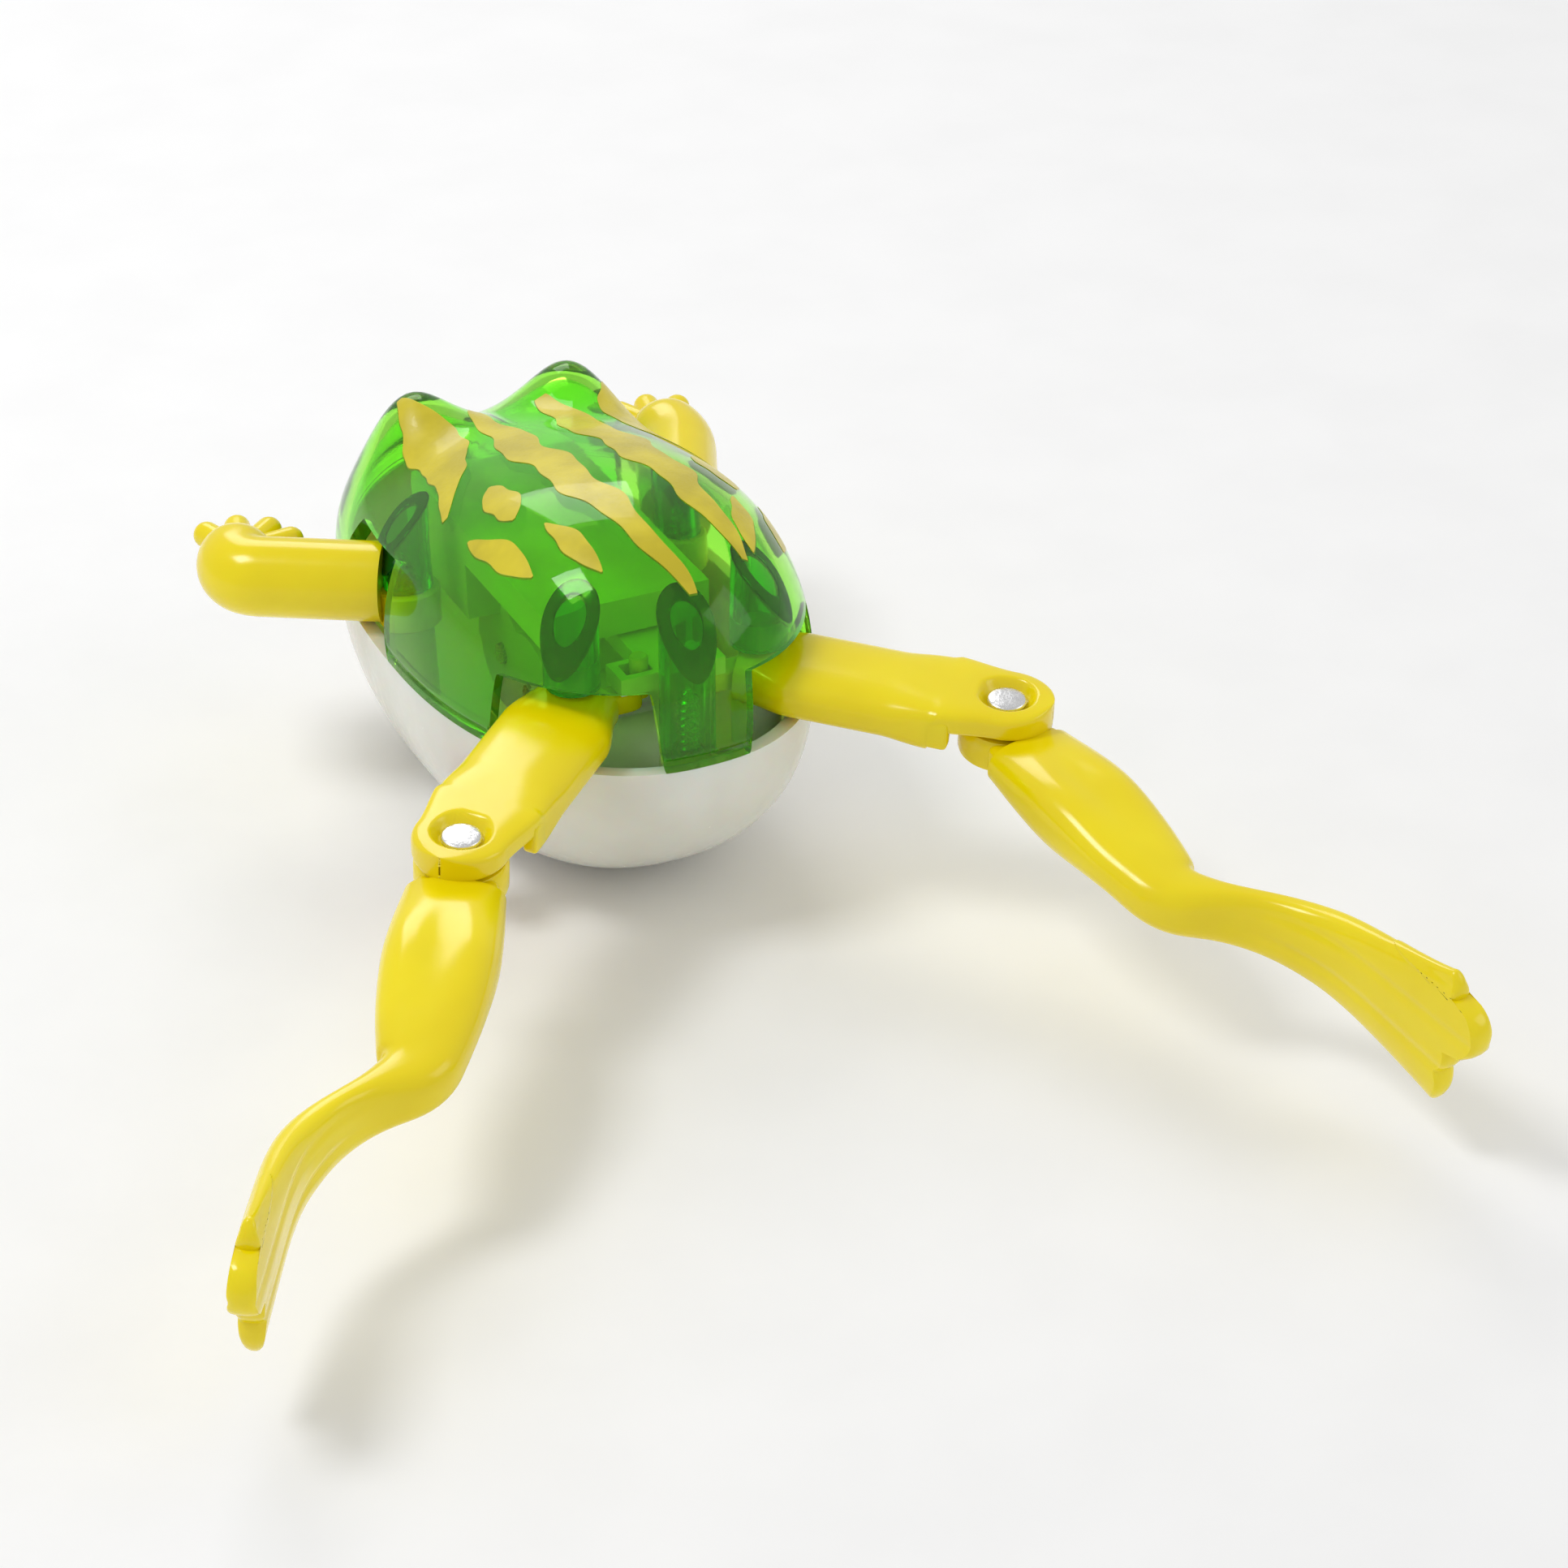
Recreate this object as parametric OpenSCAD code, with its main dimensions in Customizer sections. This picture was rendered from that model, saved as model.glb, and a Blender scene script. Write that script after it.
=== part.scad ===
// Clockwork swimming frog: two moulded body shells, a spring motor, and two kicking legs.
// Millimetres. +X is the frog's right, +Y its nose, +Z up. Origin: middle of the flat belly rest.

/* [Body shells] */
// Width of the body at the rim
body_w = 43.8; // [40:0.5:52]
// Rim centre to the nose
body_front = 41; // [38:0.5:48]
// Rim centre to the tail
body_rear = 34.2; // [33:0.5:40]
// Height of the rim above the belly rest
rim_z = 21.5; // [20.5:0.5:25]
// Height of the back above the rim
dome_h = 20.8; // [19:0.2:26]
// How much the back rises towards the tail, per mm
dome_slope = 0.19; // [0.1:0.01:0.22]
// Squareness of the body outline: 2 is an ellipse
plan_power = 2.3; // [2.1:0.05:2.6]
// Squareness of the body section: 2 is an ellipse
side_power = 2.3; // [2.1:0.05:2.6]
// Wall of both shells
shell_wall = 1.6; // [1.2:0.1:2]
// How much of the hull's curve the flat belly rest cuts off
belly_cut = 1.2; // [0.8:0.1:1.6]
// Gap at the parting line between the shells
parting_gap = 0.1; // [0.05:0.05:0.3]

/* [Eyes] */
// Eye bump to the middle plane
eye_x = 10.6; // [9:0.1:12]
// Eye bump ahead of the rim centre
eye_y = 24; // [20:0.5:27]
// Height of an eye bump
eye_h = 8.4; // [5:0.2:10]
// Spread of an eye bump
eye_spread = 4.6; // [4:0.1:6]

/* [Legs] */
// Hip axis to the middle plane
hip_x = 10.5; // [10:0.1:12]
// Hip axis behind the rim centre
hip_back = 23.3; // [22:0.1:24]
// Thickness of the thigh moulding
thigh_t = 5.8; // [5:0.1:6.2]
// Width of the thigh
thigh_w = 12; // [10:0.2:13]
// Hip axis to knee axis
thigh_len = 27.2; // [25:0.2:32]
// Thigh direction outwards from straight back, degrees
thigh_spread = 48; // [44:1:50]
// Knee axis to ankle
shank_len = 30; // [27:0.5:34]
// Ankle to the toes along the webbed foot
foot_len = 32; // [28:0.5:36]
// Height of the foot at its toes
foot_h = 16; // [13:0.5:17]
// Downward slope of the legs from the hips, degrees
leg_droop = 5.5; // [4:0.5:6]
// Hip swing, degrees
hip_swing = 24; // [16:1:24]
// Radius of a hip pin
hip_pin_r = 2; // [1.8:0.1:2.2]
// Radius of a knee rivet's shank
rivet_r = 1.5; // [1.2:0.1:1.8]
// Radial clearance of every running fit
run_gap = 0.06; // [0.03:0.01:0.09]
// Face clearance between moving pieces
face_gap = 0.2; // [0.15:0.05:0.3]

/* [Arms] */
// Thickness of the upper arm
arm_d = 9; // [8:0.1:9.2]
// Arm screw to elbow
upper_arm_len = 17.5; // [15:0.5:20]
// Elbow to the palm
forearm_len = 8.5; // [7:0.5:10]
// Arm screw to the middle plane
arm_x = 16.2; // [15.8:0.1:16.4]
// Arm screw ahead of the rim centre
arm_y = 8; // [7:0.5:9]

/* [Motor] */
// Tooth module of every gear
gear_m = 0.6; // [0.5:0.02:0.62]
// Teeth of the great gear
great_teeth = 14; // [13:1:14]
// Teeth of the two fast wheels
wheel_teeth = 16; // [15:1:16]
// Teeth of every pinion
pinion_teeth = 10; // [10:1:11]
// Face width of a gear
gear_t = 2; // [1.6:0.1:2.2]
// Radius of the motor's steel shafts
shaft_r = 1.2; // [1:0.1:1.3]
// Radius of the winding arbor
arbor_r = 1.5; // [1.3:0.1:1.6]
// Radius of the winding knob
knob_r = 4; // [3.6:0.1:4.4]
// Throw of the crank pin
crank_throw = 1.9; // [1.4:0.1:2]
// Wall of the motor case
case_wall = 1.2; // [1:0.1:1.4]

/* [Hidden] */

leaf_green = [0.25, 0.75, 0.15, 0.75];
milk_white = [0.85, 0.85, 0.78];
frog_yellow = [0.98, 0.87, 0.05];
motor_white = [0.93, 0.93, 0.9];
knob_red = [0.8, 0.08, 0.08];
steel_grey = [0.7, 0.7, 0.72];
gear_cream = [0.93, 0.88, 0.72];

// ---- body surface -------------------------------------------------------
half_w = body_w / 2;
hull_depth = rim_z + belly_cut;
hull_slope = 0.05;

function spow(v, p) = sign(v) * pow(abs(v), p);
function reach(a, cut) = (cos(a) > 0 ? body_front : body_rear) - cut;

// A point of the body's outline at the rim, at turn a from the nose, inset by cut
function rim_point(a, cut) = [
    (half_w - cut) * spow(sin(a), 2 / plan_power),
    reach(a, cut) * spow(cos(a), 2 / plan_power)
];

// Extra height of the two eye bumps over a place on the back
function eye_rise(x, y, cut) = (eye_h - cut * 0.3) * exp(
    -(pow(abs(x) - eye_x, 2) + pow(y - eye_y, 2)) / (2 * pow(eye_spread, 2)));

// A point of the back at turn a and rise t (0 at the rim, 90 at the crown)
function dome_point(a, t, cut) =
    let (p = rim_point(a, cut) * pow(cos(t), 2 / side_power),
         h = pow(sin(t), 2 / side_power))
    [p.x, p.y, rim_z + (dome_h - cut - dome_slope * p.y) * h + eye_rise(p.x, p.y, cut) * h];

// A point of the hull at turn a and drop t; the lowest part is cut off flat
function hull_point(a, t, cut) =
    let (p = rim_point(a, cut) * pow(cos(t), 2 / side_power),
         h = pow(sin(t), 2 / side_power))
    [p.x, p.y, max(cut, rim_z - (hull_depth - cut + hull_slope * p.y * (1 - h)) * h)];

// Smooth step from 0 to 1 between lo and hi
function ease(v, lo, hi) = let (u = min(1, max(0, (v - lo) / (hi - lo)))) u * u * (3 - 2 * u);
function fold(a) = a > 180 ? 360 - a : a;

// The upper shell is cut away above the rim for each leg and each arm
leg_cut = [122, 170];
leg_cut_h = 7.6;
arm_cut_left = [65.5, 89.5];
arm_cut_right = [51, 89.5];
arm_cut_h = 12;
edge_run = 3;
function window(a, w) = ease(a, w[0], w[0] + edge_run) * (1 - ease(a, w[1] - edge_run, w[1]));
function edge_rise(a) = leg_cut_h * window(fold(a), leg_cut)
    + arm_cut_h * window(fold(a), a > 180 ? arm_cut_left : arm_cut_right);
function edge_turn(a) = asin(pow(edge_rise(a) / (dome_h + 2), side_power / 2));

half_turns = [0, 9, 18, 27, 36, 45, 51, 52.5, 54, 60, 65.5, 67, 68.5, 74, 80, 86.5, 88, 89.5, 94.5, 101, 108, 115,
              122, 123.5, 125, 131, 138, 145, 152, 159, 164, 167, 168.5, 170, 175, 180];
turns = concat(half_turns, [for (i = [len(half_turns) - 2:-1:1]) 360 - half_turns[i]]);
rings = 11;

// A closed skin between an outer and an inner face, each a grid of rings that ends in one crown
// point. outer[0] and inner[0] are the open edge.
module skin(outer, inner, upright) {
    n = len(outer[0]);
    m = len(outer);
    pts = concat([for (r = outer) each r], [for (r = inner) each r],
                 [outer[m - 1][0] + [0, 0, 0]], [inner[m - 1][0] + [0, 0, 0]]);
    body = m * n;
    crown_out = 2 * body;
    crown_in = 2 * body + 1;
    quads = [for (j = [0:m - 3], i = [0:n - 1]) let (k = (i + 1) % n)
        [j * n + i, j * n + k, (j + 1) * n + k, (j + 1) * n + i]];
    caps = [for (i = [0:n - 1]) let (k = (i + 1) % n) [(m - 2) * n + i, (m - 2) * n + k, crown_out]];
    inner_quads = [for (q = quads) [q[3] + body, q[2] + body, q[1] + body, q[0] + body]];
    inner_caps = [for (c = caps) [crown_in, c[1] + body, c[0] + body]];
    edge = [for (i = [0:n - 1]) let (k = (i + 1) % n) [k, i, i + body, k + body]];
    faces = concat(quads, caps, inner_quads, inner_caps, edge);
    polyhedron(pts, upright ? faces : [for (f = faces) [for (i = [len(f) - 1:-1:0]) f[i]]]);
}

module dome_skin() {
    skin([for (j = [0:rings]) [for (a = turns) let (t0 = edge_turn(a))
              dome_point(a, t0 + (90 - t0) * j / rings, 0)]],
         [for (j = [0:rings]) [for (a = turns) let (t0 = edge_turn(a))
              dome_point(a, t0 + (90 - t0) * j / rings, shell_wall)]], true);
}

module hull_skin() {
    skin([for (j = [0:rings]) [for (a = turns) hull_point(a, 90 * j / rings, 0)]],
         [for (j = [0:rings]) [for (a = turns) hull_point(a, 90 * j / rings, shell_wall)]], false);
}

// A solid that fills a grid of rings from a flat base ring up (or down) to its crown point
module filled(base, grid, crown, upright) {
    n = len(base);
    m = len(grid);
    pts = concat(base, [for (r = grid) each r], [crown]);
    walls = [for (j = [0:m - 1], i = [0:n - 1]) let (k = (i + 1) % n)
        [j * n + i, j * n + k, (j + 1) * n + k, (j + 1) * n + i]];
    caps = [for (i = [0:n - 1]) [m * n + i, m * n + (i + 1) % n, len(pts) - 1]];
    faces = concat(walls, caps, [[for (i = [n - 1:-1:0]) i]]);
    polyhedron(pts, upright ? faces : [for (f = faces) [for (i = [len(f) - 1:-1:0]) f[i]]]);
}

// Everything under the back down to level z0, inset by cut, to trim the upper posts against
module filled_dome(cut, z0) {
    filled([for (a = turns) concat(rim_point(a, cut), z0)],
           [for (j = [0:rings - 1]) [for (a = turns) dome_point(a, 90 * j / rings, cut)]],
           dome_point(0, 90, cut), true);
}

// Everything over the hull up to level z0, inset by cut, to trim the lower posts against
module filled_hull(cut, z0) {
    filled([for (a = turns) concat(rim_point(a, cut), z0)],
           [for (j = [0:rings - 1]) [for (a = turns) hull_point(a, 90 * j / rings, cut)]],
           hull_point(0, 90, cut), false);
}

// ---- where things stand -------------------------------------------------
sides = [-1, 1];
boss_r = 2.9;
post_r = 2.7;
screw_r = 1.1;
screw_head_r = 2;
screw_head_t = 1.2;
screw_bite = 8;
tail_y = -28.4;
tail_joint_z = rim_z - 1;
hip_y = -hip_back;
thigh_mid_z = rim_z + 3.6;
thigh_top_z = thigh_mid_z + thigh_t / 2;
arm_z = rim_z + 0.15 + arm_d / 2;
arm_low_z = arm_z - arm_d / 2;
arm_top_z = arm_z + arm_d / 2;

// Gear train, seen along +X: places are [y, z]
great_r = gear_m * great_teeth / 2;
wheel_r = gear_m * wheel_teeth / 2;
pinion_r = gear_m * pinion_teeth / 2;
train_turns = [8, 20, 10];
arbor_at = [-18.3, 12.3];
function step(from, distance, turn) = from + distance * [cos(turn), sin(turn)];
second_at = step(arbor_at, great_r + pinion_r, train_turns[0]);
crank_at = step(second_at, wheel_r + pinion_r, train_turns[1]);
governor_at = step(crank_at, wheel_r + pinion_r, train_turns[2]);

// Slots across the motor, from its left plate to its right plate
slot_gap = 0.4;
spring_t = 2.6;
case_left_x = -6.2;
spring_x = case_left_x + 0.2;
great_x = spring_x + spring_t + slot_gap;
wheel_x = great_x + gear_t + slot_gap;
fast_x = wheel_x + gear_t + slot_gap;
case_right_x = fast_x + gear_t + slot_gap;
case_split_x = wheel_x - slot_gap / 2;
motor_left = case_left_x - case_wall;
motor_right = case_right_x + case_wall;

// Lays a drawing made in the Y-Z plane at x, growing towards +X
module across(x) {
    translate([x, 0, 0]) rotate([90, 0, 90]) children();
}

module rod(x0, x1, at, r) {
    across(x0) translate(at) cylinder(h = x1 - x0, r = r, $fn = 48);
}

// ---- shells -------------------------------------------------------------
cradle_y = [-14, 6];
cradle_top = 12;

module at_hips() {
    for (s = sides) translate([s * hip_x, hip_y, 0]) children();
}

module at_arms() {
    for (s = sides) translate([s * arm_x, arm_y, 0]) children();
}

module post(z0, z1, r) {
    translate([0, 0, z0]) cylinder(h = z1 - z0, r = r, $fn = 48);
}

boss_top = rim_z + 30;
module upper_shell() {
    color(leaf_green) {
        dome_skin();
        difference() {
            intersection() {
                filled_dome(shell_wall / 2, tail_joint_z - 1);
                union() {
                    translate([0, tail_y, 0]) post(tail_joint_z + parting_gap, boss_top, boss_r);
                    at_hips() post(thigh_top_z + face_gap, boss_top, boss_r);
                    at_arms() post(arm_low_z + arm_eye_t + 0.02, boss_top, boss_r);
                }
            }
            translate([0, tail_y, 0]) post(tail_joint_z - 1, tail_joint_z + screw_bite + 1, screw_r);
            at_hips() post(thigh_top_z, thigh_top_z + 4, hip_pin_r + run_gap);
            at_arms() post(arm_low_z, arm_low_z + arm_eye_t + 4.2, screw_r);
        }
    }
}

module lower_shell() {
    color(milk_white) difference() {
        union() {
            difference() {
                hull_skin();
                rod(-half_w - 1, motor_left, arbor_at, arbor_r + 0.3);
            }
            difference() {
                intersection() {
                    filled_hull(shell_wall / 2, boss_top);
                    union() {
                        translate([0, tail_y, 0]) post(0, tail_joint_z, boss_r);
                        at_hips() post(0, thigh_mid_z - thigh_t / 2 - face_gap, post_r);
                        at_arms() post(0, arm_low_z, post_r);
                        for (x = [motor_left + 1, motor_right - 2.6])
                            translate([x, cradle_y[0], 0]) cube([1.6, cradle_y[1] - cradle_y[0], cradle_top]);
                    }
                }
                across(motor_left - 1) linear_extrude(motor_right - motor_left + 2) case_outline(0.05);
            }
            at_hips() post(thigh_mid_z - thigh_t / 2 - 1, thigh_top_z + 3, hip_pin_r);
        }
        translate([0, tail_y, 0]) {
            post(-1, tail_joint_z + 1, screw_r + 0.2);
            post(-1, tail_joint_z - 6, screw_head_r + 0.3);
        }
        at_arms() {
            post(-1, arm_low_z + 1, screw_r + 0.2);
            post(-1, arm_low_z - 8, screw_head_r + 0.3);
        }
    }
}

// A self-tapping screw that points up, its head's seat at z
module screw_up(z, length) {
    post(z - screw_head_t, z, screw_head_r);
    post(z - 0.1, z + length, screw_r - 0.05);
}

module shell_screws() {
    color(steel_grey) {
        translate([0, tail_y, 0]) screw_up(tail_joint_z - 6, 6 + screw_bite);
        at_arms() screw_up(arm_low_z - 8, 8 + arm_eye_t + 4);
    }
}

// ---- legs ---------------------------------------------------------------
eye_r = 4.6;
thigh_start = 3.4;
lug_r = 5;
lug_low = -0.3;
slab_end = thigh_len - 6.4;
dish_r = 2.8;
dish_depth = 1.3;
knuckle_r = 4.8;
knuckle_t = 3.6;
rivet_head_r = 2;
rivet_head_t = 1;
lever_len = 7.4;
lever_pin_r = 1;
lever_tip_r = 1.5;
lever_t = 2.4;
core_wall = 1.7;
core_roof = 2;
yoke_z = thigh_mid_z + 1.4;
yoke_t = 2;

// The leg's own frame: origin on the hip axis at mid thickness, +X outwards, tipped to droop
module leg_frame() {
    translate([hip_x, hip_y, thigh_mid_z]) rotate([leg_droop, 0, 0]) children();
}

// The thigh's frame: +X runs from the hip to the knee, +Y is the outer side
module thigh_frame() {
    leg_frame() rotate([0, 0, thigh_spread - 90]) children();
}

module right_thigh_form() {
    difference() {
        union() {
            translate([hip_x, hip_y, 0]) post(thigh_mid_z - thigh_t / 2, thigh_top_z, eye_r);
            thigh_frame() {
                difference() {
                    union() {
                        translate([thigh_start, thigh_t / 2 - thigh_w / 2, -thigh_t / 2])
                            cube([slab_end - thigh_start, thigh_w - thigh_t, thigh_t]);
                        for (s = sides) translate([thigh_start, s * (thigh_w - thigh_t) / 2, 0])
                            rotate([0, 90, 0]) cylinder(h = slab_end - thigh_start, r = thigh_t / 2, $fn = 48);
                        translate([slab_end - 1, -thigh_w / 2 + 0.2, -1.6]) cube([2.4, 1.2, 3.2]);
                        translate([slab_end - 2, -lug_r, lug_low])
                            cube([thigh_len - slab_end + 2, 2 * lug_r, thigh_t / 2 - lug_low]);
                        translate([thigh_len, 0, lug_low])
                            cylinder(h = thigh_t / 2 - lug_low, r = lug_r, $fn = 64);
                    }
                    translate([thigh_len, 0, lug_low - 1])
                        cylinder(h = thigh_t, r = rivet_r + run_gap, $fn = 48);
                    translate([thigh_len, 0, thigh_t / 2 - dish_depth])
                        cylinder(h = 2, r = dish_r, $fn = 48);
                    translate([thigh_start + 2.6, -thigh_w / 2 + core_wall, -thigh_t / 2 - 1])
                        cube([slab_end - thigh_start - 5, thigh_w - 2 * core_wall, thigh_t + 1 - core_roof]);
                }
            }
            translate([hip_x - lever_len, hip_y, thigh_mid_z - lever_t / 2])
                cylinder(h = lever_t, r = lever_tip_r, $fn = 48);
            translate([hip_x - lever_len, hip_y - lever_tip_r, thigh_mid_z - lever_t / 2])
                cube([lever_len - 3, 2 * lever_tip_r, lever_t]);
            translate([hip_x - lever_len, hip_y, 0]) post(thigh_mid_z, yoke_z + yoke_t + 0.4, lever_pin_r);
        }
        translate([hip_x, hip_y, 0]) post(thigh_mid_z - thigh_t, thigh_top_z + 1, hip_pin_r + run_gap);
    }
}

module right_thigh() {
    color(frog_yellow) right_thigh_form();
}

module left_thigh() {
    color(frog_yellow) mirror([1, 0, 0]) right_thigh_form();
}

// The lower leg's frame: knee axis at the origin, +X to the ankle, +Y the outer side
shank_out_left = 30.3;
shank_out_right = 6;
module shank_frame(out) {
    leg_frame() rotate([0, 0, thigh_spread - 90]) translate([thigh_len, 0, 0])
        rotate([0, 0, out - thigh_spread]) children();
}

// The lower leg is one smooth limb. A station q runs from 0 at the knee through 1 at the ankle
// to 2 at the toes. Each curve is a list of [station, value] that knot_at joins smoothly.
limb_half_w = [[0.15, 5.1], [0.33, 5.6], [0.5, 5.8], [0.67, 5.5], [0.83, 4.9], [1, 3.8],
               [1.16, 2.1], [1.48, 1.95], [2, 1.4]];
foot_mid = -3.4;
limb_top = [[0.15, 0.3], [0.5, 1.6], [0.83, 0], [1.06, -1], [1.39, -0.6], [2, foot_mid + foot_h / 2]];
limb_low = [[0.15, -4.8], [0.5, -6.2], [0.83, -5.8], [1.06, -7], [1.39, -8.4], [2, foot_mid - foot_h / 2]];
ankle_turn = 45.5;
limb_first = 0.15;
limb_count = 33;
section_power = 2.6;
section_turns = [for (k = [0:19]) 18 * k];

function knot_slope(k, i) = i == 0 || i == len(k) - 1 ? 0 :
    (k[i + 1][1] - k[i - 1][1]) / (k[i + 1][0] - k[i - 1][0]);
function knot_at(k, q, i = 0) = i < len(k) - 2 && q > k[i + 1][0] ? knot_at(k, q, i + 1) :
    let (w = k[i + 1][0] - k[i][0], t = (q - k[i][0]) / w, rise = k[i + 1][1] - k[i][1],
         a = knot_slope(k, i) * w - rise, b = rise - knot_slope(k, i + 1) * w)
    k[i][1] + rise * t + t * (1 - t) * (a * (1 - t) + b * t);
function station(i) = limb_first + (2 - limb_first) * i / limb_count;
function limb_run(q) = q < 1 ? q * shank_len : shank_len + (q - 1) * foot_len;
function limb_turn(q) = ankle_turn * ease(q, 0.92, 1.08) * (1 - ease(q, 1.08, 1.8));
function limb_line(i) = i == 0 ? [limb_run(limb_first), 0] :
    let (q = station(i - 0.5), run = limb_run(station(i)) - limb_run(station(i - 1)))
    limb_line(i - 1) + run * [cos(limb_turn(q)), sin(limb_turn(q))];
function limb_ring(i) =
    let (q = station(i), c = limb_line(i), d = limb_turn(q), w = knot_at(limb_half_w, q),
         hi = knot_at(limb_top, q), lo = knot_at(limb_low, q))
    [for (t = section_turns)
        let (off = w * spow(cos(t), 2 / section_power), up = spow(sin(t), 2 / section_power))
        [c.x - off * sin(d), c.y + off * cos(d), (hi + lo) / 2 + (hi - lo) / 2 * up]];

module limb() {
    n = len(section_turns);
    last = n * limb_count;
    walls = [for (i = [0:limb_count - 1], k = [0:n - 1]) let (q = (k + 1) % n)
        [n * i + k, n * i + q, n * (i + 1) + q, n * (i + 1) + k]];
    polyhedron([for (i = [0:limb_count]) each limb_ring(i)],
               concat([for (w = walls) [w[3], w[2], w[1], w[0]]],
                      [[for (k = [0:n - 1]) k]], [[for (k = [n - 1:-1:0]) last + k]]));
}

// Rounded toe tips at the end of the web: [ahead of the web's end, above its middle, radius],
// spread over a web of this height. The third one is the web between the two lower toes.
toes = [[0.4, 5.7, 2.7], [3.9, 2.5, 3], [1.1, -1.6, 2.4], [-0.6, -5.4, 3.4]];
toes_h = 16;
toe_t = 2.4;
module toe_tips() {
    tip = limb_line(limb_count);
    for (t = toes) translate([tip.x + t[0], tip.y + toe_t / 2, foot_mid + t[1] * foot_h / toes_h])
        rotate([90, 0, 0]) cylinder(h = toe_t, r = t[2], $fn = 40);
}

// The calf's pocket from below
core_stations = [0.36, 0.5, 0.62, 0.74, 0.84];
core_top = -1;
module shank_form() {
    low = lug_low - face_gap - knuckle_t;
    core = [for (q = core_stations) [limb_run(q), knot_at(limb_half_w, q) - core_wall]];
    difference() {
        union() {
            difference() {
                limb();
                translate([0, 0, -10]) cylinder(h = 20, r = shank_start, $fn = 64);
                translate([0, 0, -10]) linear_extrude(10 + core_top)
                    polygon(concat(core, [for (i = [len(core) - 1:-1:0]) [core[i].x, -core[i].y]]));
            }
            toe_tips();
            translate([0, 0, low]) cylinder(h = knuckle_t, r = knuckle_r, $fn = 64);
            translate([0, 0, low]) linear_extrude(knuckle_t)
                polygon([[0, knuckle_r - 0.6], [shank_start + 1, 4], [shank_start + 1, -4], [0, 0.6 - knuckle_r]]);
        }
        translate([0, 0, -10]) cylinder(h = 20, r = rivet_r + run_gap, $fn = 48);
    }
}
shank_start = lug_r + 0.5;

module right_shank() {
    color(frog_yellow) shank_frame(shank_out_right) shank_form();
}

module left_shank() {
    color(frog_yellow) mirror([1, 0, 0]) shank_frame(shank_out_left) shank_form();
}

module knee_rivet_form() {
    thigh_frame() translate([thigh_len, 0, 0]) {
        low = lug_low - face_gap - knuckle_t;
        translate([0, 0, thigh_t / 2 - dish_depth]) cylinder(h = rivet_head_t, r = rivet_head_r, $fn = 48);
        translate([0, 0, low - 0.3]) cylinder(h = thigh_t / 2 - dish_depth - low + 0.4, r = rivet_r, $fn = 48);
        translate([0, 0, low - face_gap - 0.7]) cylinder(h = 0.7, r = rivet_head_r + 0.2, $fn = 48);
    }
}

module right_knee_rivet() {
    color(steel_grey) knee_rivet_form();
}

module left_knee_rivet() {
    color(steel_grey) mirror([1, 0, 0]) knee_rivet_form();
}

// ---- arms ---------------------------------------------------------------
arm_turn_left = 31;
arm_turn_right = 66;
arm_eye_r = 3.6;
arm_eye_t = 4.2;
fingers = 4;
arm_r = arm_d / 2;
elbow_turn_left = 92;
elbow_turn_right = 30;
// One arm on side s: a tube out over the rim at a turn ahead of square, bent forwards at the
// elbow. Inside the shells it ends in a flat eye between the posts.
module arm_form(s, turn, bend) {
    translate([s * arm_x, arm_y, 0]) {
        difference() {
            post(arm_low_z, arm_low_z + arm_eye_t, arm_eye_r);
            post(arm_low_z - 1, arm_top_z, screw_r);
        }
        translate([0, 0, arm_z]) rotate([0, 0, s > 0 ? turn : 180 - turn]) {
            translate([boss_r + 0.3, 0, 0]) rotate([0, 90, 0])
                cylinder(h = upper_arm_len - boss_r - 0.3, r = arm_r - 0.1, $fn = 40);
            translate([upper_arm_len, 0, 0]) {
                sphere(r = arm_r, $fn = 40);
                rotate([0, 0, s * bend]) rotate([0, 90, 0]) {
                    cylinder(h = forearm_len, r = arm_r - 0.4, $fn = 40);
                    translate([0, 0, forearm_len]) {
                        sphere(r = arm_r - 0.25, $fn = 40);
                        hand();
                    }
                }
            }
        }
    }
}

// The fingers fan out from the rounded palm
module hand() {
    for (i = [0:fingers - 1]) rotate([finger_turn * (i - (fingers - 1) / 2), 0, 0]) {
        cylinder(h = finger_len, r = finger_r, $fn = 24);
        translate([0, 0, finger_len]) sphere(r = finger_r, $fn = 24);
    }
}
finger_turn = 34;
finger_len = 5;
finger_r = 1.4;

module left_arm() {
    color(frog_yellow) arm_form(-1, arm_turn_left, elbow_turn_left);
}

module right_arm() {
    color(frog_yellow) arm_form(1, arm_turn_right, elbow_turn_right);
}

// ---- motor --------------------------------------------------------------
pressure = 25;
backlash = 0.08;
function radian(deg) = deg * PI / 180;
function invol(deg) = tan(deg) - radian(deg);
// Half angle of a tooth at radius r, for z teeth
function tooth_half(z, r) = let (rp = gear_m * z / 2, rb = rp * cos(pressure))
    (PI * gear_m / 2 - backlash) / (2 * rp) + invol(pressure) - invol(acos(min(1, rb / r)));
flank_steps = 4;

// A spur gear's outline, with a tooth centred on the turn given
module gear_2d(z, turn) {
    rp = gear_m * z / 2;
    rb = rp * cos(pressure);
    tip = rp + gear_m * 0.95;
    root = rp - gear_m * 1.2;
    start = max(rb, root);
    radii = [for (i = [0:flank_steps]) start + (tip - start) * i / flank_steps];
    right = [for (r = radii) [r, -tooth_half(z, r) * 180 / PI]];
    left = [for (i = [flank_steps:-1:0]) [radii[i], tooth_half(z, radii[i]) * 180 / PI]];
    tooth = concat([[root, right[0][1]]], right, left, [[root, left[flank_steps][1]]]);
    polygon([for (k = [0:z - 1], p = tooth) let (t = turn + k * 360 / z + p[1]) p[0] * [cos(t), sin(t)]]);
}

// Turn of a gear that meshes from the far end of a line of centres
function mate(line, z) = line + 180 + 180 / z;

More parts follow.
